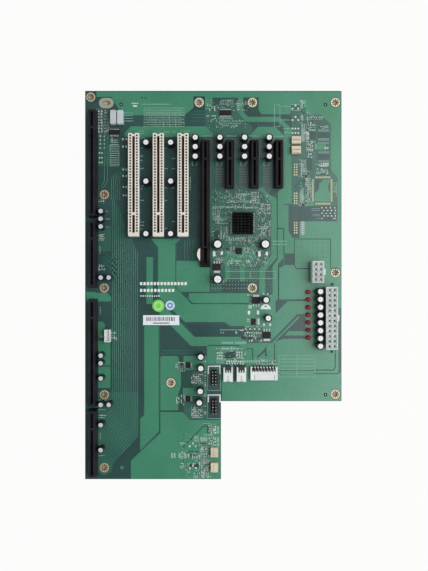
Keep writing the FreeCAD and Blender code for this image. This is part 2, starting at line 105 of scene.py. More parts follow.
class Wire:
    def __init__(self, finish, socket):
        self.finish = finish
        self.socket = socket

    def maths(self, operation, first, second):
        return self.finish.node("ShaderNodeMath", dict(operation=operation), {0: first, 1: second})

    def __add__(self, other):
        return self.maths("ADD", self, other)

    def __radd__(self, other):
        return self.maths("ADD", other, self)

    def __mul__(self, other):
        return self.maths("MULTIPLY", self, other)

    def __rmul__(self, other):
        return self.maths("MULTIPLY", other, self)

    def __gt__(self, other):
        return self.maths("GREATER_THAN", self, other)

    def __lt__(self, other):
        return self.maths("LESS_THAN", self, other)

    def __abs__(self):
        return self.maths("ABSOLUTE", self, 0.0)


class Finish:
    def __init__(self, name):
        self.material = bpy.data.materials.new(name)
        self.material.use_nodes = True
        self.tree = self.material.node_tree
        self.shader = self.tree.nodes["Principled BSDF"]
        self.place = self.node("ShaderNodeTexCoord", out="Object")

    def node(self, kind, settings=None, sockets=None, out=0):
        return Wire(self, addNode(self.tree, kind, settings, sockets).outputs[out])

    def noise(self, scale, detail=2.0, stretch=None):
        place = self.place
        if stretch:
            place = self.node("ShaderNodeMapping", {}, {"Vector": place, "Scale": stretch})
        return self.node("ShaderNodeTexNoise", {}, {"Vector": place, "Scale": scale, "Detail": detail})

    def mix(self, factor, first, second):
        return self.node("ShaderNodeMix", dict(data_type="RGBA"), {0: factor, 6: first, 7: second}, out=2)

    def spread(self, value, low, high):
        return self.node("ShaderNodeMapRange", {}, {"Value": value, "From Min": low, "From Max": high})

    def axis(self, vector, letter):
        return self.node("ShaderNodeSeparateXYZ", {}, {0: vector}, out=letter)

    def bump(self, height, strength, depth):
        values = {"Height": height, "Strength": strength, "Distance": depth}
        self.paint(Normal=self.node("ShaderNodeBump", {}, values))

    def paint(self, **values):
        for key, value in values.items():
            feed(self.tree, self.shader.inputs[key.replace("_", " ")], value)


# solder mask: glass cloth shows faintly through it, and broad clouds vary its depth
def maskFinish(name, dark, light, edge=None):
    made = Finish(name)
    cloud = made.spread(made.noise(26.0, 3.0), 0.3, 0.7)
    cloth = made.noise(1500.0, 1.0, (1.0, 0.35, 1.0))
    shade = made.mix(cloud, colour(dark), colour(light))
    shade = made.mix(cloth * 0.22, shade, colour(light))
    if edge:
        upright = abs(made.axis(made.node("ShaderNodeNewGeometry", out="Normal"), "Z"))
        fibre = made.mix(made.noise(700.0, 3.0, (1.0, 1.0, 6.0)), colour(edge[0]), colour(edge[1]))
        shade = made.mix(upright < 0.5, shade, fibre)
    made.paint(Base_Color=shade, Roughness=0.24 + cloth * 0.1, Specular_IOR_Level=0.5)
    made.bump(cloth, 0.12, 0.0002)
    return made.material


# moulded plastic: a fine spark-eroded grain, a little cloud in the colour
def plasticFinish(name, dark, light, rough, grain=1400.0, gloss=0.35):
    made = Finish(name)
    cloud = made.spread(made.noise(70.0, 3.0), 0.3, 0.7)
    speck = made.noise(grain, 2.0)
    made.paint(Base_Color=made.mix(cloud, colour(dark), colour(light)), Roughness=rough + speck * 0.14)
    made.paint(Specular_IOR_Level=gloss)
    made.bump(speck, 0.10, 0.0003)
    return made.material


# metal: fine drawn lines along one axis, duller where it has been handled
def metalFinish(name, dark, light, rough):
    made = Finish(name)
    drawn = made.noise(1800.0, 2.0, (1.0, 1.0, 0.1))
    dull = made.spread(made.noise(160.0, 3.0), 0.35, 0.75)
    made.paint(Base_Color=made.mix(dull, colour(light), colour(dark)), Metallic=1.0)
    made.paint(Roughness=rough + drawn * 0.15 + dull * 0.1)
    made.bump(drawn, 0.08, 0.0002)
    return made.material


# print and paper: slightly uneven ink on a faintly fibrous ground
def printFinish(name, dark, light, rough=0.6):
    made = Finish(name)
    fibre = made.noise(900.0, 4.0)
    made.paint(Base_Color=made.mix(fibre, colour(dark), colour(light)), Roughness=rough + fibre * 0.2)
    made.paint(Specular_IOR_Level=0.3)
    made.bump(fibre, 0.08, 0.0001)
    return made.material


def lampFinish(name, dark, light):
    made = Finish(name)
    depth = made.noise(420.0, 2.0)
    made.paint(Base_Color=made.mix(depth, colour(dark), colour(light)), Roughness=0.24 + depth * 0.1)
    made.paint(Coat_Weight=0.1 + depth * 0.1, Coat_Roughness=0.12)
    return made.material


def sleeveFinish(name, dark, light):
    made = Finish(name)
    ripple = made.noise(520.0, 2.0, (1.0, 1.0, 0.15))
    made.paint(Base_Color=made.mix(ripple, colour(dark), colour(light)), Roughness=0.34 + ripple * 0.2)
    made.paint(Specular_IOR_Level=0.2)
    made.bump(ripple, 0.15, 0.0003)
    return made.material


bareMask = maskFinish("bareMask", "#22433f", "#2d5350", ("#8b9467", "#5d6b46"))
pourMask = maskFinish("pourMask", "#398060", "#458c71")
traceMask = maskFinish("traceMask", "#226053", "#2e6f60")
fieldMask = maskFinish("fieldMask", "#2b5c4f", "#386c5c")
greyMask = maskFinish("greyMask", "#3c5956", "#496763")
blockMask = maskFinish("blockMask", "#1d4640", "#29534e")
paleMask = maskFinish("paleMask", "#748783", "#8ea19c")
# darker mask where copper is cleared, also used as painted shade
clearingShadeMask = maskFinish("clearingShadeMask", "#183b3a", "#234b4a")
haloMask = maskFinish("haloMask", "#3a4a33", "#46573f")
gapMask = maskFinish("gapMask", "#154a3e", "#1e5749")
silkInk = printFinish("silkInk", "#b9cbc2", "#dfe9e4")
faintInk = printFinish("faintInk", "#7dab96", "#97bfac")
boldInk = printFinish("boldInk", "#d5ded9", "#f2f6f3")
darkInk = printFinish("darkInk", "#2a2a2e", "#45444a")
labelPaper = printFinish("labelPaper", "#dde2ea", "#eef2f8")
greenPaper = printFinish("greenPaper", "#6fc356", "#8bdc70")
paleGreenPaper = printFinish("paleGreenPaper", "#9be583", "#aaf093")
bluePaper = printFinish("bluePaper", "#b7d3ea", "#d3e6f6")
deepBlueInk = printFinish("deepBlueInk", "#5c74ad", "#8397c4")
goldPad = printFinish("goldPad", "#c9c096", "#e3dcbb", 0.34)
goldRing = printFinish("goldRing", "#cbc6aa", "#dfdac1", 0.34)
# a darker copy of the rings' gold for those near the left edge: painted shade
shadedRing = printFinish("shadedRing", "#aca186", "#c4ba9f", 0.4)
tanInk = printFinish("tanInk", "#a08a6c", "#b39e80")
greyInk = printFinish("greyInk", "#6f8482", "#8ba09d")
pinShade = printFinish("pinShade", "#2b2d2c", "#434644", 0.45)
targetInk = printFinish("targetInk", "#101213", "#1c1f20")
viaBrown = printFinish("viaBrown", "#3f311c", "#5c4829", 0.4)
tinMetal = metalFinish("tinMetal", "#aeb1b3", "#dfe1e2", 0.28)
dimPad = printFinish("dimPad", "#76998b", "#93b3a6", 0.4)
solderMetal = printFinish("solderMetal", "#bac4c0", "#dbe3df", 0.3)
dullTin = printFinish("dullTin", "#8d9084", "#b3b4a6", 0.4)
contactGold = printFinish("contactGold", "#5d412c", "#7d5a3f", 0.35)
contactDim = printFinish("contactDim", "#4a3735", "#644e4b", 0.35)
# contact bronze darkened to stand for the shade inside the ivory slots' cavities
cavityShadeBronze = printFinish("cavityShadeBronze", "#241a14", "#35281f", 0.4)
canMetal = printFinish("canMetal", "#e2e3e8", "#f4f5f8", 0.32)
# a darker copy of the can metal for tops on the board's dimmer left side: painted shade
canShaded = printFinish("canShaded", "#c2c8d2", "#d8dde5", 0.32)
canSleeve = sleeveFinish("shrinkSleeve", "#0b0a0c", "#171519")
stripeInk = printFinish("stripeInk", "#2f3036", "#45474d")
redLamp = lampFinish("redLampEpoxy", "#6c0c22", "#8e142f")
blackPlastic = plasticFinish("blackPlastic", "#121115", "#1d1b20", 0.48, gloss=0.18)
hostPlastic = plasticFinish("hostPlastic", "#1a1b20", "#27282e", 0.48, gloss=0.18)
ivoryPlastic = plasticFinish("ivoryPlastic", "#dcd8cc", "#ebe8de", 0.45)
whiteNylon = plasticFinish("whiteNylon", "#cfd6d4", "#e2e7e6", 0.45)
socketNylon = plasticFinish("socketNylon", "#bac4c1", "#ccd5d2", 0.45)
greyNylon = plasticFinish("greyNylon", "#b7c0c3", "#c9d0d3", 0.45)
creamPlastic = plasticFinish("creamPlastic", "#c8bea6", "#d7ceb7", 0.5)
chipEpoxy = plasticFinish("chipEpoxy", "#1f1b1e", "#2b2529", 0.55, 2600.0, 0.2)
blackAnodised = metalFinish("blackAnodised", "#1b1b1d", "#29292b", 0.45)
padGrey = plasticFinish("padGrey", "#6f7478", "#83888c", 0.7)
ceramicTan = plasticFinish("ceramicTan", "#7d7566", "#97907f", 0.5, 3000.0)
resistorBlack = plasticFinish("resistorBlack", "#1d2022", "#2c3032", 0.35, 3000.0)
print("finishes ready:", len(bpy.data.materials))


# shapes are drawn in mm of the frame and scaled once, when they are done
def addPrism(bm, points, low, high):
    base = [bm.verts.new((x, y, low)) for x, y in points]
    roof = [bm.verts.new((x, y, high)) for x, y in points]
    bm.faces.new(base)
    bm.faces.new(roof)
    for i in range(len(points)):
        bm.faces.new((base[i - 1], base[i], roof[i], roof[i - 1]))


# flat plate with holes left open in it: the outline first, then the loops of the holes
def addPierced(bm, loops, low, high):
    base = [bm.verts.new((x, y, low)) for loop in loops for x, y in loop]
    roof = [bm.verts.new((x, y, high)) for loop in loops for x, y in loop]
    for corners in tessellate_polygon([[Vector((x, y, 0)) for x, y in loop] for loop in loops]):
        bm.faces.new([base[i] for i in corners])
        bm.faces.new([roof[i] for i in corners])
    first = 0
    for loop in loops:
        for i in range(len(loop)):
            one, other = first + i, first + (i + 1) % len(loop)
            bm.faces.new((base[one], base[other], roof[other], roof[one]))
        first += len(loop)


# any profile in the XZ plane, pushed along Y
def addSheet(bm, profile, y0, y1):
    front = [bm.verts.new((x, y0, z)) for x, z in profile]
    rear = [bm.verts.new((x, y1, z)) for x, z in profile]
    bm.faces.new(front)
    bm.faces.new(rear)
    for i in range(len(profile)):
        bm.faces.new((front[i - 1], front[i], rear[i], rear[i - 1]))


# a profile turned about Z that starts and ends on the axis
def addLathe(bm, profile, sides):
    turns = [2 * math.pi * i / sides for i in range(sides)]
    rings = []
    for radius, z in profile:
        if radius == 0:
            rings.append([bm.verts.new((0, 0, z))])
        else:
            rings.append([bm.verts.new((radius * math.cos(a), radius * math.sin(a), z)) for a in turns])
    for low, high in zip(rings, rings[1:]):
        for i in range(sides):
            if len(low) == 1:
                bm.faces.new((low[0], high[i], high[i - 1]))
            elif len(high) == 1:
                bm.faces.new((low[i - 1], low[i], high[0]))
            else:
                bm.faces.new((low[i - 1], low[i], high[i], high[i - 1]))


# a closed section turned about Z, all the way round or part of it
def addTurned(bm, section, steps, start=0.0, sweep=360.0):
    whole = sweep >= 360.0
    angles = [math.radians(start + sweep * i / steps) for i in range(steps if whole else steps + 1)]
    rings = [[bm.verts.new((r * math.cos(a), r * math.sin(a), z)) for r, z in section] for a in angles]
    pairs = list(zip(rings, rings[1:])) + ([(rings[-1], rings[0])] if whole else [])
    for one, other in pairs:
        for i in range(len(section)):
            bm.faces.new((one[i - 1], one[i], other[i], other[i - 1]))
    if not whole:
        bm.faces.new(rings[0])
        bm.faces.new(rings[-1])


# section of a flat ring, to be turned
def washer(inner, outer, low, high):
    return patch(inner, low, outer, high)


# stepped block: every cell of the grid has its own height, and the walls between them are closed
def addCells(bm, xs, ys, heightOf, floor):
    columns = range(len(xs) - 1)
    rows = range(len(ys) - 1)
    cells = [(i, j) for i in columns for j in rows]
    heights = {(i, j): heightOf((xs[i] + xs[i + 1]) / 2, (ys[j] + ys[j + 1]) / 2) for i, j in cells}
    around = [(-1, -1), (0, -1), (-1, 0), (0, 0)]

    def level(i, j):
        return heights.get((i, j), floor)

    steps = {(i, j): sorted({level(i + a, j + b) for a, b in around})
             for i in range(len(xs)) for j in range(len(ys))}
    known = {}

    def corner(i, j, z):
        if (i, j, z) not in known:
            known[i, j, z] = bm.verts.new((xs[i], ys[j], z))
        return known[i, j, z]

    def wall(start, end, one, other):
        low, high = sorted((one, other))
        if low == high:
            return
        up = [corner(*start, z) for z in steps[start] if low <= z <= high]
        down = [corner(*end, z) for z in reversed(steps[end]) if low <= z <= high]
        bm.faces.new(up + down)

    for i, j in cells:
        bm.faces.new([corner(i + a, j + b, heights[i, j]) for a, b in patch(0, 0, 1, 1)])
    for i in range(len(xs)):
        for j in rows:
            wall((i, j), (i, j + 1), level(i - 1, j), level(i, j))
    for j in range(len(ys)):
        for i in columns:
            wall((i, j), (i + 1, j), level(i, j - 1), level(i, j))
    edge = [(i, 0) for i in columns] + [(len(xs) - 1, j) for j in rows]
    edge += [(i, len(ys) - 1) for i in range(len(xs) - 1, 0, -1)]
    edge += [(0, j) for j in range(len(ys) - 1, 0, -1)]
    bm.faces.new([corner(i, j, floor) for i, j in edge])


def meshOf(bm):
    bmesh.ops.recalc_face_normals(bm, faces=bm.faces[:])
    bmesh.ops.scale(bm, vec=(mm, mm, mm), verts=bm.verts[:])
    made = bpy.data.meshes.new("drawn")
    bm.to_mesh(made)
    bm.free()
    return made


def partMesh(draw, *values):
    bm = bmesh.new()
    draw(bm, *values)
    return meshOf(bm)


def addObject(name, data):
    made = bpy.data.objects.new(name, data)
    bpy.context.scene.collection.objects.link(made)
    return made


def settle(name, mesh, finish, slot, *nodes):
    mesh.name = name
    mesh.materials.clear()
    mesh.materials.append(finish)
    piece = addObject(name, mesh)
    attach(piece, "root")
    if nodes:
        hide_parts(*nodes)


# shape of a node in the frame, in mm
def nodeShape(node):
    bm = bmesh.new()
    bm.from_mesh(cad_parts[node].data)
    bm.transform(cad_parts[node].matrix_world)
    bmesh.ops.scale(bm, vec=(1 / mm, 1 / mm, 1 / mm), verts=bm.verts[:])
    bmesh.ops.remove_doubles(bm, verts=bm.verts[:], dist=0.001)
    return bm


# a rigid part of the frame with its sharp edges broken
def softCopy(node, finish, slot, width):
    flatAngle, sharpAngle = 0.02, 0.35
    bm = nodeShape(node)
    bmesh.ops.dissolve_limit(bm, angle_limit=flatAngle, verts=bm.verts[:], edges=bm.edges[:])
    sharp = [e for e in bm.edges if len(e.link_faces) == 2 and e.calc_face_angle() > sharpAngle]
    bmesh.ops.bevel(bm, geom=sharp, offset=width, segments=2, profile=0.6, affect="EDGES", clamp_overlap=True)
    settle(node + "_finished", meshOf(bm), finish, slot, node)


# boxes of the loose solids in a node of the frame
def solidsOf(node):
    bm = nodeShape(node)
    left = set(bm.verts)
    boxes = []
    while left:
        queue = [left.pop()]
        group = list(queue)
        while queue:
            near = {v for edge in queue.pop().link_edges for v in edge.verts} & left
            left -= near
            queue += near
            group += near
        low = Vector([min(v.co[i] for v in group) for i in range(3)])
        high = Vector([max(v.co[i] for v in group) for i in range(3)])
        boxes.append((low, high))
    bm.free()
    return sorted(boxes, key=lambda b: (round(b[0].x, 2), round(b[0].y, 2)))


def boxOf(node):
    return [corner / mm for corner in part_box(node)]


# Geometry Nodes
def geoTree(name, inputs):
    tree = bpy.data.node_groups.new(name, "GeometryNodeTree")
    tree.interface.new_socket("Geometry", in_out="INPUT", socket_type="NodeSocketGeometry")
    for label, kind in inputs.items():
        tree.interface.new_socket(label, in_out="INPUT", socket_type="NodeSocket" + kind)
    tree.interface.new_socket("Geometry", in_out="OUTPUT", socket_type="NodeSocketGeometry")
    return tree


def closeTree(tree, source, geometry):
    solid = addNode(tree, "GeometryNodeRealizeInstances", {}, {"Geometry": geometry})
    values = {"Geometry": solid.outputs[0], "Material": source.outputs["Finish"]}
    painted = addNode(tree, "GeometryNodeSetMaterial", {}, values)
    addNode(tree, "NodeGroupOutput", {}, {"Geometry": painted.outputs[0]})
    return tree


# copies of one part on loose points, each with its own turn and size
def makeScatterTree():
    tree = geoTree("scatterParts", dict(Part="Object", Finish="Material"))
    source = addNode(tree, "NodeGroupInput")
    part = addNode(tree, "GeometryNodeObjectInfo", {}, {"Object": source.outputs["Part"]})
    vector = dict(data_type="FLOAT_VECTOR")
    turn = addNode(tree, "GeometryNodeInputNamedAttribute", vector, {"Name": "turn"})
    size = addNode(tree, "GeometryNodeInputNamedAttribute", vector, {"Name": "size"})
    values = {"Points": source.outputs["Geometry"], "Instance": part.outputs["Geometry"],
              "Rotation": turn.outputs[0], "Scale": size.outputs[0]}
    placed = addNode(tree, "GeometryNodeInstanceOnPoints", {}, values)
    return closeTree(tree, source, placed.outputs[0])


# flat ribbons of copper or ink along drawn lines
def makeRibbonTree():
    tree = geoTree("ribbonsAlongLines", dict(Width="Float", Thickness="Float", Finish="Material"))
    source = addNode(tree, "NodeGroupInput")
    line = addNode(tree, "GeometryNodeMeshToCurve", {}, {"Mesh": source.outputs["Geometry"]})
    upright = addNode(tree, "GeometryNodeSetCurveNormal", dict(mode="Z_UP"), {"Curve": line.outputs[0]})
    section = addNode(tree, "GeometryNodeCurvePrimitiveQuadrilateral", dict(mode="RECTANGLE"),
                      {"Width": source.outputs["Width"], "Height": source.outputs["Thickness"]})
    values = {"Curve": upright.outputs[0], "Profile Curve": section.outputs[0], "Fill Caps": True}
    ribbon = addNode(tree, "GeometryNodeCurveToMesh", {}, values)
    return closeTree(tree, source, ribbon.outputs[0])


scatterTree = makeScatterTree()
ribbonTree = makeRibbonTree()


def runTree(tree, seeds, values):
    carrier = addObject("carrier", seeds)
    modifier = carrier.modifiers.new("nodes", "NODES")
    modifier.node_group = tree
    for item in tree.interface.items_tree:
        if item.in_out == "INPUT" and item.name in values:
            modifier[item.identifier] = values[item.name]
    graph = bpy.context.evaluated_depsgraph_get()
    made = bpy.data.meshes.new_from_object(carrier.evaluated_get(graph))
    bpy.data.objects.remove(carrier)
    return made


# a piece of many copies: places are (x, y, z, turn in degrees) in mm, with an optional size (sx, sy, sz)
def scatter(name, part, places, finish, slot, *nodes):
    seeds = bpy.data.meshes.new("seeds")
    seeds.from_pydata([Vector(p[:3]) * mm for p in places], [], [])
    turns = [(0.0, 0.0, math.radians(p[3])) for p in places]
    sizes = [p[4] if len(p) > 4 else (1.0, 1.0, 1.0) for p in places]
    for label, rows in (("turn", turns), ("size", sizes)):
        field = seeds.attributes.new(label, "FLOAT_VECTOR", "POINT")
        field.data.foreach_set("vector", [v for row in rows for v in row])
    holder = addObject("part", part)
    mesh = runTree(scatterTree, seeds, dict(Part=holder, Finish=finish))
    bpy.data.objects.remove(holder)
    settle(name, mesh, finish, slot, *nodes)


# a piece of many ribbons, along lines in mm on the board's face
def ribbons(name, lines, width, thickness, finish, slot):
    points = []
    edges = []
    for line in lines:
        first = len(points)
        points += [Vector((x, y, boardTop + thickness / 2)) * mm for x, y in line]
        edges += [(first + i, first + i + 1) for i in range(len(line) - 1)]
    seeds = bpy.data.meshes.new("seeds")
    seeds.from_pydata(points, edges, [])
    mesh = runTree(ribbonTree, seeds, dict(Width=width * mm, Thickness=thickness * mm, Finish=finish))
    settle(name, mesh, finish, slot)


# unit plate with clipped corners and unit dot, for pads, ink and bars: scaled by the size of their place
def drawPlate(bm):
    half, clip = 0.5, 0.36
    points = [(-half, -clip), (-clip, -half), (clip, -half), (half, -clip), (half, clip), (clip, half),
              (-clip, half), (-half, clip)]
    addPrism(bm, points, 0.0, 1.0)


unitPlate = partMesh(drawPlate)
unitDot = partMesh(addLathe, [(0, 0), (0.5, 0), (0.5, 0.7), (0.38, 1.0), (0, 1.0)], 10)


# rows of plates, evenly spaced from one pixel of the photo to another: (x0, y0, x1, y1, count, width,
# height), or only (x, y, width, height) for one plate alone
def padPlaces(rows, thickness, rise=0.0):
    places = []
    for row in rows:
        x0, y0, x1, y1, count, width, height = row if len(row) > 4 else (*row[:2], *row[:2], 1, *row[2:])
        for i in range(count):
            share = i / max(count - 1, 1)
            x, y = spot(x0 + (x1 - x0) * share, y0 + (y1 - y0) * share, rise)
            places.append((x, y, boardTop + rise, 0.0, (width, height, thickness)))
    return places


# plated screw holes with a star of small vias
screws = dict(
    outer=3.85, inner=1.88, clear=2.9, wall=0.2, plate=0.06, bite=0.05, sides=28, shadedReach=20.0,
    starCircle=2.35, starDot=1.25, starRise=0.05, starCount=8, halo=4.5, haloLap=0.2, haloDrop=0.01,
    places=[(4.7, 5.2), (95.5, 9.7), (140.04, 9.7), (209.51, 9.7), (16.1, 86.8), (16.1, 165.0), (16.1, 254.3),
            (16.1, 315.4), (140.04, 165.0), (209.51, 152.2), (209.51, 253.9), (71.82, 244.4)],
)
oblong = dict(
    place=(17.7, 10.2), reach=1.3, inner=2.05, outer=4.3, clear=3.05, lap=0.6, lining=0.12, plate=0.06,
)


# a round loop, or an oblong one where reach is more than nothing
def holeLoop(x, y, radius, reach=0.0, steps=20):
    turns = [2 * math.pi * (i + 0.5) / steps for i in range(steps)]
    arms = [(radius * math.cos(a), radius * math.sin(a)) for a in turns]
    return [(x + dx + math.copysign(reach, dx), y + dy) for dx, dy in arms]


# loops to leave open in a plate, for each hole that lies inside its outline
def holesInside(outline):
    loops = []
    holes = [(*at(*place), screws["clear"], 0.0) for place in screws["places"]]
    holes.append((*at(*oblong["place"]), oblong["clear"], oblong["reach"]))
    for x, y, radius, reach in holes:
        crossings = 0
        for (ax, ay), (bx, by) in zip(outline, outline[1:] + outline[:1]):
            if (ay > y) != (by > y) and x < ax + (bx - ax) * (y - ay) / (by - ay):
                crossings += 1
        if crossings % 2:
            loops.append(holeLoop(x, y, radius, reach))
    return loops


